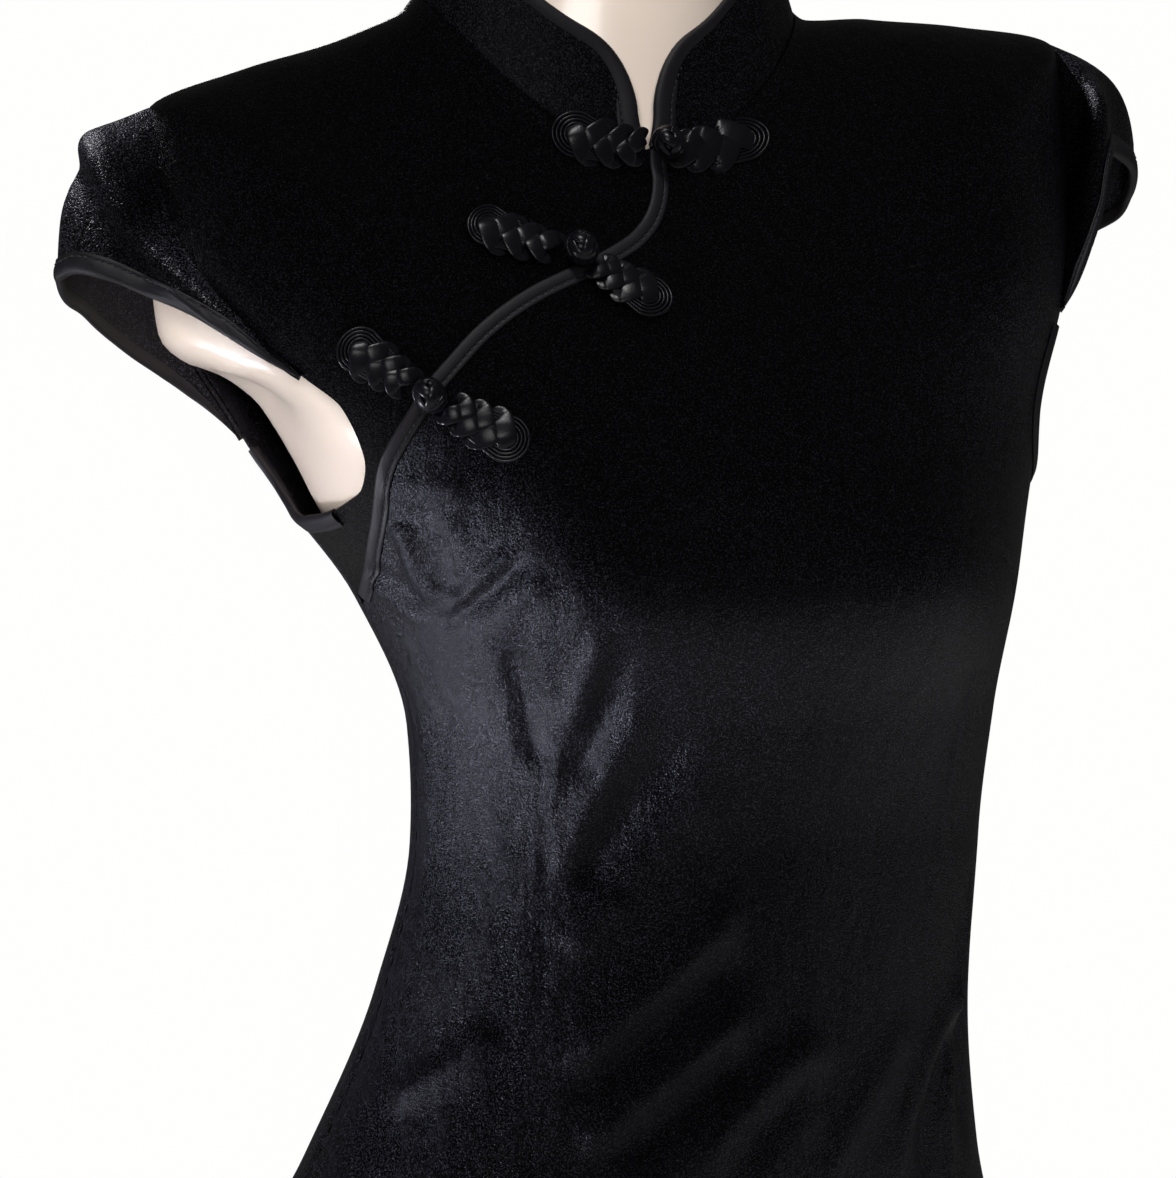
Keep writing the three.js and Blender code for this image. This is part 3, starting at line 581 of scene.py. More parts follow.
def eased(at, value, span=0.035):
    """A monotone cubic whose bends are eased over a span to both sides."""
    fine = np.linspace(at[0], at[-1], EASING_STEPS + 1)
    exact = smooth_curve(at, value)(fine)
    reach = int(span * EASING_STEPS)
    before = 2 * exact[0] - exact[reach:0:-1]
    after = 2 * exact[-1] - exact[-2:-reach - 2:-1]
    padded = np.concatenate([before, exact, after])
    kernel = np.hanning(2 * reach + 3)[1:-1]
    soft = np.convolve(padded, kernel / kernel.sum(), "valid")
    return lambda where: np.interp(where, fine, soft)


def sleeve_seam(name):
    """The armhole seam as curves of angle and ring, from the front end over the shoulder to the back end."""
    side = SIDES[name]
    front_end, back_end = SLEEVE_ENDS
    places = [(name, ring) for ring in ARM_RINGS if ring >= front_end] + [(name, SHOULDER_END)]
    places += [("back", ring) for ring in reversed(ARM_RINGS) if ring >= back_end]
    along = np.linspace(0, 1, len(places))
    angles = [float(arm_angle(side, *place)) for place in places]
    return eased(along, angles, 0.012), eased(along, [ring for _, ring in places], 0.012)


SEAM_LINES = {name: sleeve_seam(name) for name in SIDES}
SLEEVE_REACH = {
    name: {column: eased([row[0] for row in rows], [row[i] for row in rows])
           for i, column in enumerate(SLEEVE_COLUMNS) if i}
    for name, rows in SLEEVES.items()
}


def sleeve_point(name, along, t):
    """A point of the sleeve before its folds: along the seam, and from the seam (t 0) to the hem (t 1)."""
    along, t = np.broadcast_arrays(np.asarray(along, float), np.asarray(t, float))
    angle, ring = SEAM_LINES[name]
    seam = cloth_point(angle(along), ring(along))[0]
    reach_of = SLEEVE_REACH[name]
    none = np.zeros(along.shape)
    drop = np.stack([none, none, -reach_of["drop"](along)], axis=-1)
    reach = np.stack([SIDES[name] * reach_of["out"](along), -reach_of["forward"](along), none], axis=-1)
    hem = seam + reach + drop
    first = seam + SEAM_HANDLE[0] * reach + SEAM_HANDLE[1] * drop
    second = hem - HEM_HANDLE[1] * drop - HEM_HANDLE[0] * reach
    t = t[..., None]
    u = 1 - t
    return seam * u**3 + first * 3 * u * u * t + second * 3 * u * t * t + hem * t**3


def sleeve_normal(name, along, t):
    before = np.maximum(along - NORMAL_ALONG, 0)
    after = np.minimum(along + NORMAL_ALONG, 1)
    above = np.maximum(t - NORMAL_ACROSS, 0)
    below = np.minimum(t + NORMAL_ACROSS, 1)
    ahead = sleeve_point(name, after, t) - sleeve_point(name, before, t)
    down = sleeve_point(name, along, below) - sleeve_point(name, along, above)
    return unit(np.cross(down, ahead)) * SIDES[name]


def sleeve_cloth(name, along, t, out=0.0):
    """A point of the folded sleeve and its outward normal."""
    point = sleeve_point(name, along, t)
    normal = sleeve_normal(name, along, t)
    lift = np.zeros(point.shape[:-1]) + out + SLEEVE_RISE * np.exp(-np.clip(t, 0, 1) / SLEEVE_RISE_REACH)
    for line, height, before, after in SLEEVE_FOLDS[name]:
        line_along, line_t = along_line(line)
        path = sleeve_point(name, line_along, line_t)
        gap = np.linalg.norm(point[..., None, :] - path, axis=-1)
        i = gap.argmin(-1)
        fade = faded(i / (len(line_along) - 1), SLEEVE_FOLD_FADE)
        width = np.where(t > line_t[i], after, before)
        lift = lift + height * fade * np.exp(-((gap.min(-1) / width) ** 2))
    return point + normal * lift[..., None], normal


def outward(grid, normals):
    """The grid with its columns reversed where needed, so that its outer face looks along the normals."""
    facing = np.einsum("ijk,ijk->ij", grid_normals(grid), normals).mean()
    return grid if facing > 0 else grid[:, ::-1]


for name in SIDES:
    along, t = np.meshgrid(np.linspace(0, 1, 121), np.linspace(-0.03, 0.997, 41), indexing="ij")
    cap, cap_normal = sleeve_cloth(name, along, t)
    sleeve = cloth_wall("cap_sleeve_" + name, outward(cap, cap_normal), velvet)
    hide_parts("sleeve_" + name)
    sheet_of(sleeve)

# ---- Stand collar ---------------------------------------------------------------------------------
# A stand collar of velvet over a firm layer, so that it keeps its curve. Its two ends turn down in round
# corners at the middle front, and it leans in to the neck, more on the wearer's left.
COLLAR_HEIGHT, COLLAR_FOOT, COLLAR_GAP, COLLAR_CORNER, COLLAR_MIDDLE = 40, 14, 3, 18, -90
COLLAR_LEAN, COLLAR_LEFT_LEAN, COLLAR_LIFT = 0.16, 0.15, 1.0
COLLAR_CLOSE = 2.2
COLLAR_WALL = 1.6
# The powers that shape a front corner, like those of a rounded rectangle.
CORNER_AWAY, CORNER_UP = 2.6, 0.62
# Soft creases: angle at the foot, angle at the top, height in mm and width in degrees.
COLLAR_CREASES = (
    (-44, -50, -0.9, 3.2), (-38, -41, 1.0, 4.5), (-128, -138, 0.9, 6), (-152, -148, -0.8, 6),
    (60, 66, 0.9, 8),
)


def from_middle(angle):
    away = np.abs(angle - COLLAR_MIDDLE)
    return np.minimum(away, 360 - away)


def corner_height(from_front):
    away = np.clip((from_front - COLLAR_GAP) / COLLAR_CORNER, 0, 1)
    return COLLAR_FOOT + (COLLAR_HEIGHT - COLLAR_FOOT) * (1 - (1 - away) ** CORNER_AWAY) ** CORNER_UP


def collar_point(angle, share, out=0.0):
    """A point of the collar, at a share of its height there."""
    angle, share = np.broadcast_arrays(np.asarray(angle, float), np.asarray(share, float))
    signed = (angle - COLLAR_MIDDLE + 180) % 360 - 180
    low = 1 - np.clip(corner_height(np.abs(signed)) * share / COLLAR_FOOT, 0, 1)
    near = 1 - np.clip((np.abs(signed) - COLLAR_GAP) / COLLAR_CORNER, 0, 1)
    angle = angle - np.sign(signed) * COLLAR_CLOSE * low**1.5 * near
    foot = body_point(angle, np.full(angle.shape, float(NECK)))
    away = foot[..., :2] - np.array([body["x"](NECK), body["y"](NECK)])
    size = np.linalg.norm(away, axis=-1)
    height = corner_height(from_middle(angle))
    lean = COLLAR_LEAN + COLLAR_LEFT_LEAN * np.cos(np.radians(angle))
    bend = np.zeros(angle.shape)
    fade = np.sin(np.pi * np.clip(share, 0, 1)) ** 0.5
    for at_foot, at_top, rise, width in COLLAR_CREASES:
        aside = (angle - (at_foot + (at_top - at_foot) * share)) / width
        bend += rise * np.exp(-(aside**2)) * fade
    scale = (size - lean * height * share + out + bend) / size
    spot = away * scale[..., None]
    return np.concatenate([
        spot + np.array([body["x"](NECK), body["y"](NECK)]),
        (foot[..., 2] + COLLAR_LIFT + height * share)[..., None],
    ], axis=-1)


collar_start = COLLAR_MIDDLE + COLLAR_GAP
collar_end = collar_start + 360 - 2 * COLLAR_GAP
corner_turns = np.linspace(0, 1, 28) ** 1.6 * COLLAR_CORNER
collar_angles = np.concatenate([
    collar_start + corner_turns,
    np.linspace(collar_start + COLLAR_CORNER, collar_end - COLLAR_CORNER, 130)[1:-1],
    (collar_end - corner_turns)[::-1],
])
share, angle = np.meshgrid(np.linspace(-0.06, 0.99, 24), collar_angles, indexing="ij")
collar = cloth_wall("stand_collar", collar_point(angle, share), velvet, COLLAR_WALL)
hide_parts("collar")
sheet_of(collar)

# ---- Bias bindings --------------------------------------------------------------------------------
# Strips of black satin, cut on the bias. Each is sewn to an edge, folded round it and stitched down, so
# that a soft roll stands at the edge. A row of stitches shows beside all but the ones under the arms.
BINDING_WIDE, UNDERARM_BINDING_WIDE = 8.6, 7.4
SATIN_WALL = 0.32
STITCH_LENGTH, STITCH_GAP, STITCH_RADIUS = 2.0, 1.1, 0.30


def grain_group():
    """Fine uneven threads and a slower slack of woven satin, as a colour and a normal."""
    group, given, out, place = shader_group(
        "satin_grain",
        {"Base": "Color", "Raised": "Color", "Depth": "Float"},
        {"Color": "Color", "Normal": "Vector"},
    )
    link = group.links.new
    threads = node(group, "ShaderNodeTexNoise", Scale=2600.0, Detail=2.0, Roughness=0.6)
    slack = node(group, "ShaderNodeTexNoise", Scale=160.0, Detail=2.0, Roughness=0.5)
    for texture in (threads, slack):
        link(place, texture.inputs["Vector"])
    colour = node(group, "ShaderNodeMix", data_type="RGBA")
    link(threads.outputs["Fac"], colour.inputs["Factor"])
    link(given.outputs["Base"], colour.inputs[6])
    link(given.outputs["Raised"], colour.inputs[7])
    link(colour.outputs[2], out.inputs["Color"])
    heights = node(group, "ShaderNodeMath", operation="ADD")
    link(threads.outputs["Fac"], heights.inputs[0])
    link(slack.outputs["Fac"], heights.inputs[1])
    bump = node(group, "ShaderNodeBump", Distance=0.00045)
    link(given.outputs["Depth"], bump.inputs["Strength"])
    link(heights.outputs["Value"], bump.inputs["Height"])
    link(bump.outputs["Normal"], out.inputs["Normal"])
    return group


SATIN_GRAIN = grain_group()


def satin_material(name, base, raised, depth, roughness, sheen):
    material, shader = new_material(
        name, Roughness=roughness, Specular_IOR_Level=0.5,
        Sheen_Weight=sheen, Sheen_Roughness=0.4, Sheen_Tint=(0.75, 0.72, 0.85, 1),
    )
    grain = grouped(material, SATIN_GRAIN, Base=(*base, 1), Raised=(*raised, 1), Depth=depth)
    material.node_tree.links.new(grain.outputs["Color"], shader.inputs["Base Color"])
    material.node_tree.links.new(grain.outputs["Normal"], shader.inputs["Normal"])
    return material


binding_satin = satin_material(
    "binding_satin", (0.008, 0.007, 0.010), (0.030, 0.027, 0.037), 0.35, 0.47, 0.03)
thread_material = satin_material(
    "black_thread", (0.030, 0.028, 0.036), (0.060, 0.056, 0.070), 0.2, 0.35, 0.1)

# The section of a strip folded round an edge: (share of its width in from the edge, mm off the cloth).
FOLDED = (
    (1.0, 0.45), (0.93, 0.72), (0.84, 0.86), (0.79, 0.80), (0.755, 0.70), (0.72, 0.84), (0.66, 1.10),
    (0.54, 1.38), (0.40, 1.52), (0.26, 1.50), (0.13, 1.30), (0.03, 0.90), (-0.04, 0.30), (-0.075, -0.45),
    (-0.06, -1.2), (0.0, -1.85), (0.12, -2.2), (0.35, -2.3), (0.6, -2.2), (0.7, -2.05),
)
# A folded strip that lies flat on the cloth: (mm from its middle, mm off the cloth).
LAID = (
    (3.5, 0.42), (3.3, 0.68), (2.9, 0.80), (2.3, 0.86), (1.85, 0.80), (1.6, 0.72), (1.35, 0.84),
    (0.9, 1.18), (0.1, 1.42), (-1.0, 1.60), (-2.0, 1.62), (-2.8, 1.42), (-3.3, 1.05), (-3.42, 0.78),
    (-3.0, 0.52), (-1.5, 0.44), (0.5, 0.40),
)
# The outer face of each section is the part that is higher than this.
FOLDED_FACE, LAID_FACE = 0.2, 0.6


def resampled(points, count):
    """A smooth line through a few points, as evenly shared rows."""
    points = np.array(points, float)
    at = np.arange(len(points))
    where = np.linspace(0, len(points) - 1, count)
    return np.stack([smooth_curve(at, points[:, k])(where) for k in range(points.shape[1])], axis=1)


def distances(path):
    """The length of a path up to each of its points."""
    return np.concatenate([[0], np.cumsum(np.linalg.norm(np.diff(path, axis=0), axis=1))])


def tube_faces(rings, sides, start):
    """The faces of a closed tube whose rings of points begin at a start."""
    faces = []
    for k in range(rings - 1):
        for s in range(sides):
            this = start + k * sides + s
            following = start + k * sides + (s + 1) % sides
            faces.append((this, following, following + sides, this + sides))
    faces.append([start + s for s in range(sides)][::-1])
    faces.append([start + (rings - 1) * sides + s for s in range(sides)])
    return faces


def stitches(name, path, normal):
    """Short threads along a path, a little sunk at both ends."""
    length = distances(path)
    starts = np.arange(1.5, length[-1] - STITCH_LENGTH - 1, STITCH_LENGTH + STITCH_GAP)
    sides, spans = 6, 5
    share = np.linspace(0, 1, spans)
    turn = np.linspace(0, 2 * np.pi, sides, endpoint=False)[:, None]
    cosine, sine = np.cos(turn), np.sin(turn)
    points, faces = [], []
    for start in starts:
        at = start + share * STITCH_LENGTH
        middle = np.stack([np.interp(at, length, path[:, k]) for k in range(3)], axis=1)
        up = unit(np.stack([np.interp(at, length, normal[:, k]) for k in range(3)], axis=1))
        ahead = unit(np.gradient(middle, axis=0))
        across = np.cross(ahead, up)
        arch = np.sin(np.pi * share)
        radius = STITCH_RADIUS * (0.25 + 0.75 * arch**0.5)
        middle = middle + up * (0.08 + 0.22 * arch)[:, None]
        faces += tube_faces(spans, sides, sum(len(block) for block in points))
        for k in range(spans):
            round_it = cosine * across[k] + sine * up[k]
            points.append(middle[k] + radius[k] * round_it)
    made = mesh_object(name, np.concatenate(points), faces, thread_material)
    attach(made, "root")


def binding(name, grid, normals, node_name, flat, area):
    """One strip of satin; normals says which way its outer face looks."""
    made = cloth_wall(name, outward(grid, normals), binding_satin, SATIN_WALL)
    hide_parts(node_name)
    sheet_of(made)


section = resampled(FOLDED, 44)
# The sleeve's hem and a place just inside it, as shares of the way from its seam.
HEM_SHARE, INSIDE_SHARE = 0.999, 0.97
for name in SIDES:
    along = np.linspace(0.004, 0.996, 240)
    edge = sleeve_cloth(name, along, np.full(along.shape, HEM_SHARE))[0]
    near = sleeve_cloth(name, along, np.full(along.shape, INSIDE_SHARE))[0]
    rib = np.linalg.norm(sleeve_cloth(name, along, np.zeros(along.shape))[0] - edge, axis=1)
    wide = np.minimum(BINDING_WIDE, 0.8 * rib)
    speed = np.linalg.norm(edge - near, axis=1) / (HEM_SHARE - INSIDE_SHARE)
    speed = np.convolve(np.pad(speed, 6, "edge"), np.ones(13) / 13, "valid")
    inward = section[None, :, 0] * wide[:, None]
    t = HEM_SHARE - np.clip(inward, 0, None) / speed[:, None]
    spot, normal = sleeve_cloth(name, along[:, None] + 0 * t, t)
    beyond = unit(edge - near)[:, None] * np.clip(-inward, 0, None)[..., None]
    fit = np.minimum(1, wide / 5)[:, None]
    grid = spot + beyond + normal * (section[None, :, 1] * fit)[..., None]
    binding("sleeve_edge_" + name, grid, np.where(section[None, :, 1:] > FOLDED_FACE, normal, -normal),
            "sleeve_binding_" + name, (0.018, 0.255), 0.0032)
    stitches("sleeve_edge_stitches_" + name, grid[8:-8, 9], normal[8:-8, 9])

open_ring = np.linspace(1197, 1529, 260)
open_angle = opening(open_ring)
middle, normal = cloth_point(open_angle, open_ring)
ahead = unit(np.gradient(middle, axis=0))
aside = np.cross(ahead, normal)


def slide(angle, ring, step):
    """The (angle, ring) that lies at a short step from a given one, along the surface."""
    turn, rise, _ = body_ways(angle, ring)
    turn_squared = (turn * turn).sum(-1)
    rise_squared = (rise * rise).sum(-1)
    shared = (turn * rise).sum(-1)
    step_turn = (step * turn).sum(-1)
    step_rise = (step * rise).sum(-1)
    scale = turn_squared * rise_squared - shared * shared
    degrees = (step_turn * rise_squared - step_rise * shared) / scale
    rings = (step_rise * turn_squared - step_turn * shared) / scale
    return angle + degrees, ring + rings


def on_cloth(angle, ring, aside, across, height):
    """Points at steps across a line on the cloth, at heights off it: one row per place of the line."""
    step = aside[:, None] * across[..., None]
    angles = np.repeat(angle[:, None], across.shape[1], 1)
    rings = np.repeat(ring[:, None], across.shape[1], 1)
    at_angle, at_ring = slide(angles, rings, step)
    return cloth_point(at_angle, at_ring, height)


laid = resampled(LAID, 40)
across = np.repeat(laid[None, :, 0], len(open_ring), 0)
grid, normal = on_cloth(open_angle, open_ring, aside, across, laid[None, :, 1])
binding("opening_edge", grid, np.where(laid[None, :, 1:] > LAID_FACE, normal, -normal),
        "opening_binding", (0.013, 0.272), 0.0031)
stitches("opening_stitches", grid[2:-2, 12], normal[2:-2, 12])

# The collar's binding runs up one front edge, round its corner, along the top and down the other side.
END_ROWS = 14
from_start = np.concatenate([
    np.zeros(END_ROWS), collar_angles - collar_start, np.full(END_ROWS, collar_end - collar_start),
])
top_share = np.concatenate([
    np.linspace(0.02, 0.96, END_ROWS), np.full(len(collar_angles), 0.995), np.linspace(0.96, 0.02, END_ROWS),
])
edge_angle = collar_start + from_start
edge = collar_point(edge_angle, top_share)
normal = unit(collar_point(edge_angle, top_share, 1.0) - edge)
ahead = unit(np.gradient(edge, axis=0))
inward = unit(np.cross(ahead, normal))
for _ in range(10):
    inward[1:-1] = unit(inward[:-2] + inward[1:-1] + inward[2:])
collar_section = section * np.array([BINDING_WIDE, 1.0])
in_from_edge = inward[:, None] * collar_section[None, :, :1]
lean_grid = edge[:, None] + in_from_edge + normal[:, None] * collar_section[None, :, 1:]
facing = np.where(section[None, :, 1:] > FOLDED_FACE, normal[:, None], -normal[:, None])
binding("collar_edge", lean_grid, facing, "collar_binding", (0.018, 0.487), 0.0084)
stitches("collar_edge_stitches", lean_grid[4:-4, 9], normal[4:-4])

# The lower armholes are bound too: on the wearer's left up to the sleeve's front end, on the right only to
# where the front shoulder's turned edge covers it.
BOUND_RINGS = (1289, 1278, 1267, 1257, 1248, 1242, 1238, 1235, 1233.4, 1232.6, 1231.9, 1231.3, 1230.7)
BOUND_TO = 1237
ARMHOLE_STRIPS = {"right": ((0.0165, 0.099), 0.0015), "left": ((0.0165, 0.167), 0.0024)}
for name, side in SIDES.items():
    places = [(arm_angle(side, name, ring), ring) for ring in BOUND_RINGS if side > 0 or ring <= BOUND_TO]
    places.append((arm_angle(side, "back", UNDERARM), UNDERARM))
    behind_it = [ring for ring in reversed(BOUND_RINGS) if ring < SLEEVE_ENDS[1] - 3]
    places += [(arm_angle(side, "back", ring), ring) for ring in behind_it]
    coarse = np.array(places, float)
    walk = distances(body_point(coarse[:, 0], coarse[:, 1]))
    where = np.linspace(0, walk[-1], 90)
    ring = np.interp(where, walk, coarse[:, 1])
    angle = np.interp(where, walk, coarse[:, 0])
    for _ in range(3):
        ring[1:-1] = (ring[:-2] + 2 * ring[1:-1] + ring[2:]) / 4
        angle[1:-1] = (angle[:-2] + 2 * angle[1:-1] + angle[2:]) / 4
    edge, normal = cloth_point(angle, ring)
    ahead = unit(np.gradient(edge, axis=0))
    down = np.cross(ahead, normal)
    down *= np.sign(-down[len(down) // 2, 2])
    across = np.repeat(section[None, :, 0] * UNDERARM_BINDING_WIDE, len(ring), 0)
    spot = on_cloth(angle, ring, down, np.clip(across, 0, None), np.zeros(across.shape))[0]
    beyond = down[:, None] * np.clip(-across, 0, None)[..., None]
    grid = spot - beyond + normal[:, None] * section[None, :, 1:]
    facing = np.where(section[None, :, 1:] > FOLDED_FACE, normal[:, None], -normal[:, None])
    binding("armhole_edge_" + name, grid, facing, "armhole_binding_" + name, *ARMHOLE_STRIPS[name])

# ---- Frog closures --------------------------------------------------------------------------------
# Each closure is two tabs and a knot, made of flat satin strands. A tab's strands are braided over one
# another from the knot outwards, then four round cords turn in a U at its end. Both tabs are sewn down.
# For each closure the (angle, ring) of its knot, and of the ends of its button tab and its loop tab.
FROGS = (
    ((-86, 1534), (-59, 1499), (-117.5, 1522)),
    ((-101.5, 1384), (-92, 1337), (-115.5, 1411)),
    ((-125.2, 1288), (-116.8, 1263), (-135.2, 1316)),
)
TAB_START, TAB_NARROW, TAB_WIDE = 8.0, 4.6, 7.8
TAB_LIFT, TAB_DROOP, TAB_CLIMB = 0.5, 0.007, 1.3
# A braided strand: shares of its pitch along the tab, shares of the tab's half width, and height in mm.
STRAND = (
    (-0.20, 0.78, 0.5), (-0.02, 0.96, 1.0), (0.14, 0.88, 1.8), (0.40, 0.55, 2.6), (0.68, 0.14, 2.9),
    (0.90, -0.18, 2.3), (1.06, -0.36, 1.3),
)
BRAID_PAIRS, BRAID_CLEAR, STRAND_ROWS = 3, 11.5, 36
CORD_RADIUS, CORD_HEIGHT = 0.62, 1.45
CORD_TURNS = (9.0, 7.55, 6.1, 4.65)
# The cords' straight legs: length, how much longer each next one is, and how far they close in.
LEG_LENGTH, LEG_LONGER, LEG_PINCH = 13.0, 1.2, 0.28
KNOT_RADIUS = 6.9
# The knot's wraps: tilt and spin of each one's axis, and how far along it the wrap lies.
WRAPS = ((0.15, 0.3, 0.34), (1.25, 1.0, 0.3), (0.75, 2.3, -0.34), (1.45, 2.9, -0.2), (0.5, 4.2, 0.1))
WRAP_REACH, CORE_REACH = 0.84, 0.74

frog_satin = satin_material("frog_satin", (0.005, 0.005, 0.009), (0.012, 0.012, 0.019), 0.12, 0.26, 0.02)


def hard_piece(piece, node_name):
    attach(piece, "root")
    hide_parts(node_name)


class Strands:
    """Points and faces of one piece made of several swept strands."""

    def __init__(self):
        self.points = []
        self.faces = []
        self.count = 0

    def sweep(self, path, up, half_width, half_height, sides=14):
        """A strand with an elliptic section along a path; up is the way its flat side faces."""
        path = np.asarray(path, float)
        ahead = unit(np.gradient(path, axis=0))
        across = unit(np.cross(ahead, up))
        rise = np.cross(across, ahead)
        turn = np.linspace(0, 2 * np.pi, sides, endpoint=False)
        wide = np.broadcast_to(half_width, len(path))[:, None, None]
        high = np.broadcast_to(half_height, len(path))[:, None, None]
        ring = path[:, None] + across[:, None] * wide * np.cos(turn)[None, :, None] \
            + rise[:, None] * high * np.sin(turn)[None, :, None]
        self.points.append(ring.reshape(-1, 3))
        self.faces += tube_faces(len(path), sides, self.count)
        self.count += len(path) * sides

    def piece(self, name, material):
        return mesh_object(name, np.concatenate(self.points), self.faces, material)


def tab(name, knot, far, node_name):
    """A tab in its own sizes: along from the knot, across, and height off the cloth."""
    knot, far = np.array(knot, float), np.array(far, float)
    length = float(np.linalg.norm(body_point(*far) - body_point(*knot)))

    normals = [body_ways(*(np.array([value]) for value in place))[2][0] for place in (knot, far)]

    def placed(path):
        share = path[:, :1] / length
        place = knot + (far - knot) * share
        here = body_point(place[:, 0], place[:, 1])
        beyond = place + (far - knot) * 0.02
        ahead = unit(body_point(beyond[:, 0], beyond[:, 1]) - here)
        normal = unit(normals[0] + (normals[1] - normals[0]) * np.clip(share, 0, 1))
        aside = np.cross(ahead, normal)
        climb = TAB_LIFT + TAB_CLIMB * np.clip((0.5 - share) / 0.25, 0, 1)
        up = path[:, 2:] + climb - path[:, 1:2] ** 2 * TAB_DROOP
        return here + aside * path[:, 1:2] + normal * up, normal

    def leg(end, back, reach):
        return np.stack([
            end[0] - reach * back, end[1] * (1 - LEG_PINCH * back), np.full(len(back), CORD_HEIGHT),
        ], axis=1)

    strands = Strands()
    braid = length - BRAID_CLEAR - TAB_START
    for k in range(BRAID_PAIRS):
        for hand in (1, -1):
            order = (k + (0.5 if hand < 0 else 0.0)) / BRAID_PAIRS
            pitch = braid / BRAID_PAIRS * (0.86 + 0.32 * order)
            share = order * (0.86 + 0.14 * order)
            start = TAB_START + braid * share
            wide = TAB_NARROW + (TAB_WIDE - TAB_NARROW) * share
            path = resampled([
                (start + along * pitch, hand * across * wide, height) for along, across, height in STRAND
            ], STRAND_ROWS)
            spots, ups = placed(path)
            fade = np.sin(np.pi * np.linspace(0.10, 0.90, STRAND_ROWS)) ** 0.45
            strands.sweep(spots, ups, 0.50 * pitch * fade + 0.3, 0.62 * fade + 0.12, 18)
    centre = length - 0.2 - CORD_TURNS[0]
    turn = np.radians(np.linspace(-90, 90, 40))
    back = np.linspace(1, 0, 12)[:-1]
    for i, radius in enumerate(CORD_TURNS):
        arc = np.stack([
            centre + radius * np.cos(turn), radius * np.sin(turn), np.full(len(turn), CORD_HEIGHT),
        ], axis=1)
        reach = LEG_LENGTH + LEG_LONGER * i
        path = np.concatenate([leg(arc[0], back, reach), arc, leg(arc[-1], back[::-1], reach)])
        path[:, 2] += 0.25 * (3 - i) / 3
        spots, ups = placed(path)
        strands.sweep(spots, ups, CORD_RADIUS, CORD_RADIUS * 1.1, 10)
    hard_piece(strands.piece(name, frog_satin), node_name)


def knot_ball(name, place, node_name):
    """A ball knot: flat strands wrapped over one another."""
    place = (np.array([float(place[0])]), np.array([float(place[1])]))
    turn, _, normal = (way[0] for way in body_ways(*place))
    turn = turn / np.linalg.norm(turn)
    rise = np.cross(normal, turn)
    centre = cloth_point(*place, KNOT_RADIUS + 1.2)[0][0]
    strands = Strands()
    around = np.linspace(0, 2 * np.pi, 56)
    for tilt, spin, offset in WRAPS:
        leaning = math.cos(spin) * turn + math.sin(spin) * rise
        axis = math.sin(tilt) * leaning + math.cos(tilt) * normal
        first = np.cross(axis, turn if abs(axis @ turn) < 0.8 else rise)
        first /= np.linalg.norm(first)
        second = np.cross(axis, first)
        size = KNOT_RADIUS * math.sqrt(1 - offset**2) * WRAP_REACH
        ray = np.cos(around)[:, None] * first + np.sin(around)[:, None] * second
        swing = 1 + 0.09 * np.sin(2 * around + 3 * spin)[:, None]
        path = centre + axis * offset * KNOT_RADIUS * WRAP_REACH + ray * size * swing
        strands.sweep(path, unit(path - centre), 2.3, 1.05, 14)
    level = np.linspace(-0.98, 0.98, 16)
    core = KNOT_RADIUS * CORE_REACH
    ball = core * np.sqrt(1 - level**2)
    strands.sweep(centre + level[:, None] * core * normal, np.repeat(turn[None], 16, 0), ball, ball)
    hard_piece(strands.piece(name, frog_satin), node_name)


for number, (knot, button, loop) in enumerate(FROGS, 1):
    node_start = "frog_" + str(number)
    tab("frog_button_tab_" + str(number), knot, button, node_start + "_button_tab")
    tab("frog_loop_tab_" + str(number), knot, loop, node_start + "_loop_tab")
    knot_ball("frog_ball_" + str(number), knot, node_start + "_knot")

# ---- Dress form -----------------------------------------------------------------------------------
# A limbless form, a moulded glossy shell with a low-domed neck block.
# How far the shell lies inside the garment's outer face, and (ring, mm) how far its sides swell or draw in.
FORM_INSIDE = -5.6
FORM_SWELL = (
    (1205, 0), (1230, -5), (1244, -12), (1257, -18), (1268, -20), (1280, -14), (1294, 0), (1308, 8),
    (1322, 7), (1345, 3), (1380, 0),
)
# The neck block: height, half width, half depth, and the share of the neckline's slope that is left there.
FORM_NECK = (
    (1429, 56, 41, 0.5), (1452, 51, 39, 0.15), (1478, 49, 41, 0), (1490, 42, 36, 0), (1496, 24, 22, 0),
)
# The dome starts from every third one of the trunk's last rows, and has a number of rows itself.
BLENDED_ROWS, DOME_ROWS = 8, 50

shell, _ = new_material(
    "glossy_shell", Base_Color=(0.86, 0.74, 0.64, 1), Roughness=0.30, Coat_Weight=0.25, Coat_Roughness=0.12,
)

turns = np.linspace(-180, 180, 121)[:-1]
levels = rings_between(820, (1200, 10), (1345, 4), (1516, 6))
swell = smooth_curve([row[0] for row in FORM_SWELL], [row[1] for row in FORM_SWELL])(levels)[:, None]
angle, ring = np.meshgrid(turns, levels)
cosine = np.cos(np.radians(angle))
out = FORM_INSIDE + swell * np.where(swell < 0, cosine**8, cosine**24)
trunk = body_point(angle, ring) + body_ways(angle, ring)[2] * out[..., None]
neck_rows = []
for height, wide, deep, rise in FORM_NECK:
    c, s = np.cos(np.radians(turns)), np.sin(np.radians(turns))
    slope = rise * np.where(s < 0, -60, 12) * s * s
    x = body["x"](NECK) + wide * c
    y = body["y"](NECK) - 4 + deep * s
    neck_rows.append(np.stack([x, y, height + slope], axis=1))
stations = np.concatenate([trunk[-BLENDED_ROWS::3], np.array(neck_rows)])
dome = np.stack([resampled(stations[:, i], DOME_ROWS) for i in range(len(turns))], axis=1)
form_rows = np.concatenate([trunk[:-BLENDED_ROWS], dome])
faces = tube_faces(len(form_rows), len(turns), 0)
dress_form = mesh_object("dress_form_shell", form_rows.reshape(-1, 3), faces, shell)
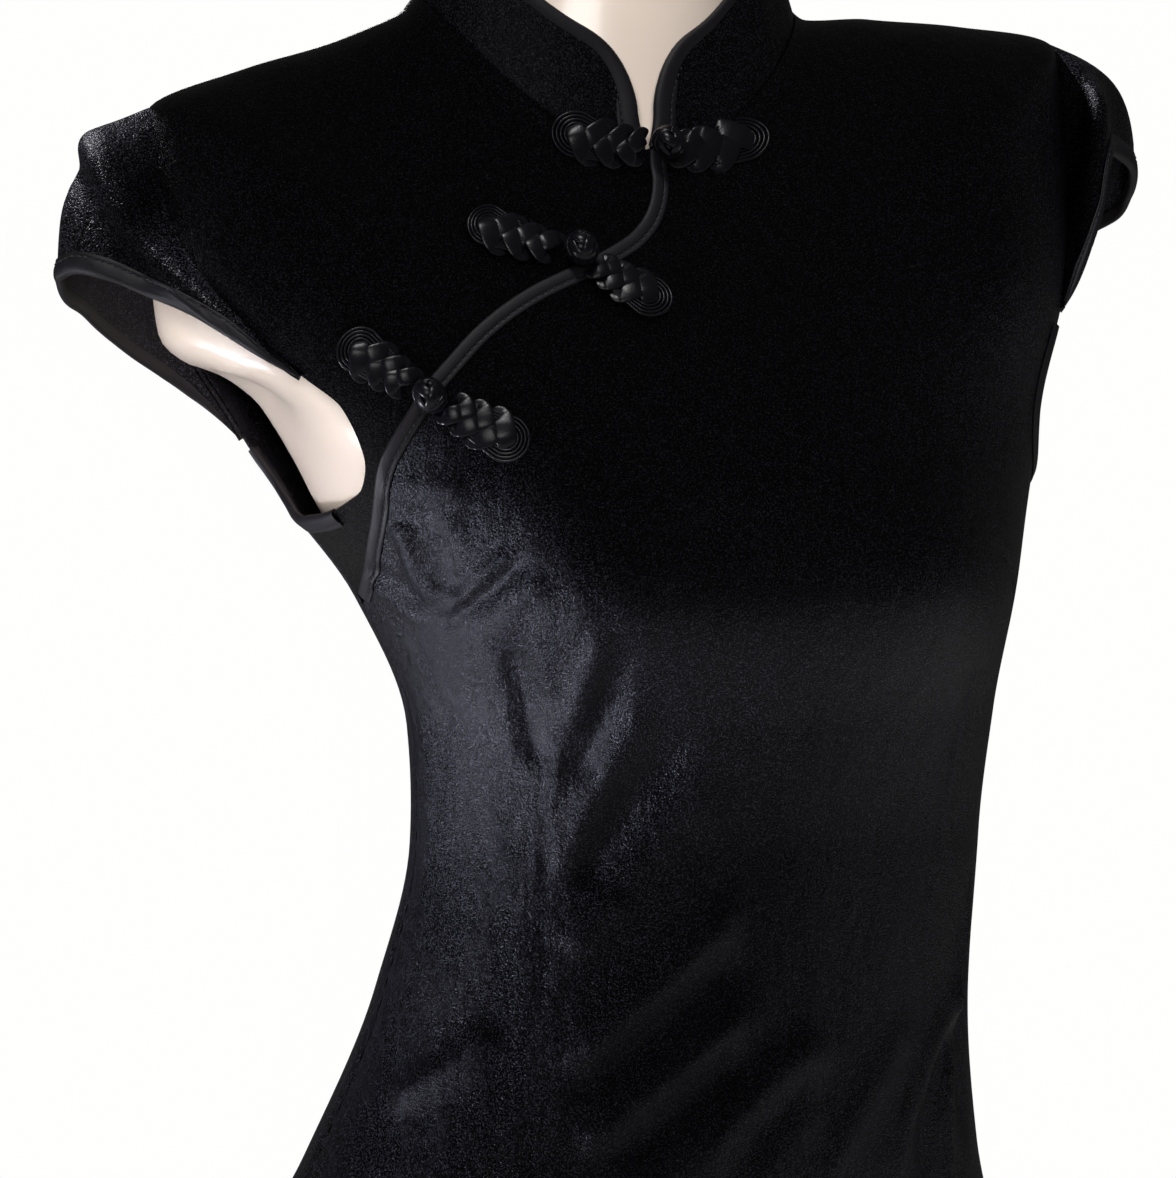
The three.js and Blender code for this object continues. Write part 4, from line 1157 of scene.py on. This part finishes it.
dress_form.data.set_sharp_from_angle(angle=SHARP_SHELL)
hard_piece(dress_form, "dress_form")


# ---- Stand ----------------------------------------------------------------------------------------
# A steel pole with a flange under the form, and a spun round base with a socket that holds the pole. Both
# are turned and polished.
POLE_RADIUS, POLE_FOOT, FORM_FOOT, FLANGE = 14, 26.3, 820, 16
BASE_RADIUS, BASE_HEIGHT, SOCKET_RADIUS = 185, 16, 26
STAND_SIDES = 120

polished, _ = new_material("polished_steel", Base_Color=(0.62, 0.62, 0.63, 1), Metallic=1.0, Roughness=0.24)


def turned(name, profile, node_name):
    """A closed body turned about the upright axis from (radius, height) points, which start and end on it."""
    turn = np.linspace(0, 2 * math.pi, STAND_SIDES + 1)[:-1]
    points = [(0, 0, profile[0][1])]
    for radius, height in profile[1:-1]:
        points += [(radius * math.cos(a), radius * math.sin(a), height) for a in turn]
    points.append((0, 0, profile[-1][1]))
    rings = len(profile) - 2
    after = [(k + 1) % STAND_SIDES for k in range(STAND_SIDES)]
    faces = tube_faces(rings, STAND_SIDES, 1)[:-2]
    faces += [(0, 1 + after[k], 1 + k) for k in range(STAND_SIDES)]
    top = 1 + (rings - 1) * STAND_SIDES
    faces += [(len(points) - 1, top + k, top + after[k]) for k in range(STAND_SIDES)]
    made = mesh_object(name, np.array(points), faces, polished)
    made.data.set_sharp_from_angle(angle=SHARP_STEEL)
    hard_piece(made, node_name)


turned("stand_base", (
    (0, 0), (BASE_RADIUS - 1, 0), (BASE_RADIUS, 1), (BASE_RADIUS, 4), (BASE_RADIUS - 1.5, 6.5),
    (BASE_RADIUS - 6, 9), (SOCKET_RADIUS + 14, BASE_HEIGHT), (SOCKET_RADIUS + 3, BASE_HEIGHT + 3),
    (SOCKET_RADIUS, BASE_HEIGHT + 6),
    (SOCKET_RADIUS, BASE_HEIGHT + 9), (SOCKET_RADIUS - 1, BASE_HEIGHT + 10), (0, BASE_HEIGHT + 10),
), "base")
turned("stand_pole", (
    (0, POLE_FOOT), (POLE_RADIUS, POLE_FOOT), (POLE_RADIUS, FORM_FOOT - 14),
    (POLE_RADIUS + 1.5, FORM_FOOT - 11), (POLE_RADIUS + 6, FORM_FOOT - 9),
    (POLE_RADIUS + FLANGE - 1, FORM_FOOT - 8), (POLE_RADIUS + FLANGE, FORM_FOOT - 7),
    (POLE_RADIUS + FLANGE, FORM_FOOT - 0.3), (0, FORM_FOOT - 0.3),
), "pole")


# ---- Floor, backdrop and light --------------------------------------------------------------------
# A pale floor and a white surround. A narrow beam from low on the left makes the waist shine, with a soft
# light beside it; neither reaches the sleeves. A weak one on the right reaches everything. Each other
# light reaches only what it is for: the sleeves, the collar, the satin, the form, the back or the floor.
FLOOR_SIZE = 6
floor_mesh = bpy.data.meshes.new("floor")
half = FLOOR_SIZE / 2
floor_corners = [(-half, -half, 0), (half, -half, 0), (half, half, 0), (-half, half, 0)]
floor_mesh.from_pydata(floor_corners, [], [(0, 1, 2, 3)])
floor = bpy.data.objects.new("floor", floor_mesh)
bpy.context.scene.collection.objects.link(floor)
floor_mesh.materials.append(new_material("pale_floor", Base_Color=(0.82, 0.81, 0.80, 1), Roughness=0.7)[0])

SURROUND_SEEN = (1.0, 0.995, 0.99, 1)
SURROUND_LIGHT = (1.0, 0.99, 0.94, 1)
world = bpy.data.worlds.new("white_surround")
world.use_nodes = True
bpy.context.scene.world = world
sky = world.node_tree
sky.nodes.clear()
seen = node(sky, "ShaderNodeBackground", Color=SURROUND_SEEN, Strength=1.0)
glow = node(sky, "ShaderNodeBackground", Color=SURROUND_LIGHT, Strength=0.04)
rays = node(sky, "ShaderNodeLightPath")
either = node(sky, "ShaderNodeMixShader")
sky.links.new(rays.outputs["Is Camera Ray"], either.inputs["Fac"])
sky.links.new(glow.outputs["Background"], either.inputs[1])
sky.links.new(seen.outputs["Background"], either.inputs[2])
sky.links.new(either.outputs["Shader"], node(sky, "ShaderNodeOutputWorld").inputs["Surface"])


def soft_light(name, place, aim, size, power, reached):
    """An oblong lamp that faces its aim. It lights only the collection reached, or all where that is None."""
    data = bpy.data.lights.new(name, "AREA")
    data.shape = "RECTANGLE"
    data.size, data.size_y = size
    data.energy = power
    data.color = (1.0, 0.98, 0.97)
    made = bpy.data.objects.new(name, data)
    made.location = place
    made.rotation_euler = (Vector(place) - Vector(aim)).to_track_quat("Z", "Y").to_euler()
    bpy.context.scene.collection.objects.link(made)
    made.light_linking.receiver_collection = reached


def lit_pieces(name, starts="", but=()):
    """A collection of the mesh pieces whose names start in one way but not in another."""
    made = bpy.data.collections.new(name)
    for piece in bpy.data.objects:
        if piece.type == "MESH" and piece.name.startswith(starts) and not piece.name.startswith(but):
            made.objects.link(piece)
    return made


SATIN = ("frog_b", "frog_l", "opening_", "collar_edge", "sleeve_edge", "armhole_edge")
lit = {
    "waist": lit_pieces("waist", but=("cap_sleeve", "front_shoulder_panel")),
    "bodice": lit_pieces("bodice", but="cap_sleeve"),
    "sleeves": lit_pieces("sleeves", "cap_sleeve"),
    "collar": lit_pieces("collar", "stand_collar"),
    "floor": lit_pieces("floor", ("floor", "stand_base", "stand_pole")),
    "back": lit_pieces("back", "back_panel"),
    "form": lit_pieces("form", "dress_form_shell"),
    "satin": lit_pieces("satin", SATIN),
    "all": None,
}
# Each lamp: its name, its place and aim in metres, its size, its power in watts, and what it reaches.
LAMPS = (
    ("low_left", (-1.45, 0.12, 0.34), (-0.16, 0, 1.11), (0.6, 0.3), 0.46, "waist"),
    ("beside", (-1.5, 0.12, 0.45), (-0.08, 0, 1.1), (0.75, 0.34), 1.6, "bodice"),
    ("right", (1.5, -0.45, 0.60), (0.08, 0, 1.0), (0.5, 0.7), 0.75, "all"),
    ("ridge", (-1.0, 0.45, 2.9), (-0.19, 0, 1.37), (0.3, 0.25), 36, "sleeves"),
    ("collar_side", (-1.1, -1.15, 1.62), (0, 0, 1.44), (0.3, 0.2), 1.3, "collar"),
    ("floor_wash", (0, 0, 3.4), (0, 0, 0), (3.5, 3.5), 46, "floor"),
    ("behind", (0.9, 2.4, 2.1), (0, 0, 1.0), (1.2, 1.2), 16, "back"),
    ("form_front", (-0.7, -2.0, 2.0), (0, 0, 1.3), (1.0, 1.0), 40, "form"),
    ("form_left", (-2.2, -0.4, 0.8), (0, 0, 1.3), (1.0, 1.0), 15, "form"),
    ("satin_front", (-0.9, -1.8, 1.9), (0, 0, 1.35), (0.4, 0.4), 3.2, "satin"),
    ("satin_high", (-0.5, -0.9, 3.0), (0, 0, 1.3), (0.5, 0.4), 9, "satin"),
)
for lamp, place, aim, size, power, reached in LAMPS:
    soft_light(lamp, place, aim, size, power, lit[reached])
low_left = bpy.data.lights["low_left"]
low_left.spread = math.radians(20)
low_left.color = (0.86, 0.88, 1.0)
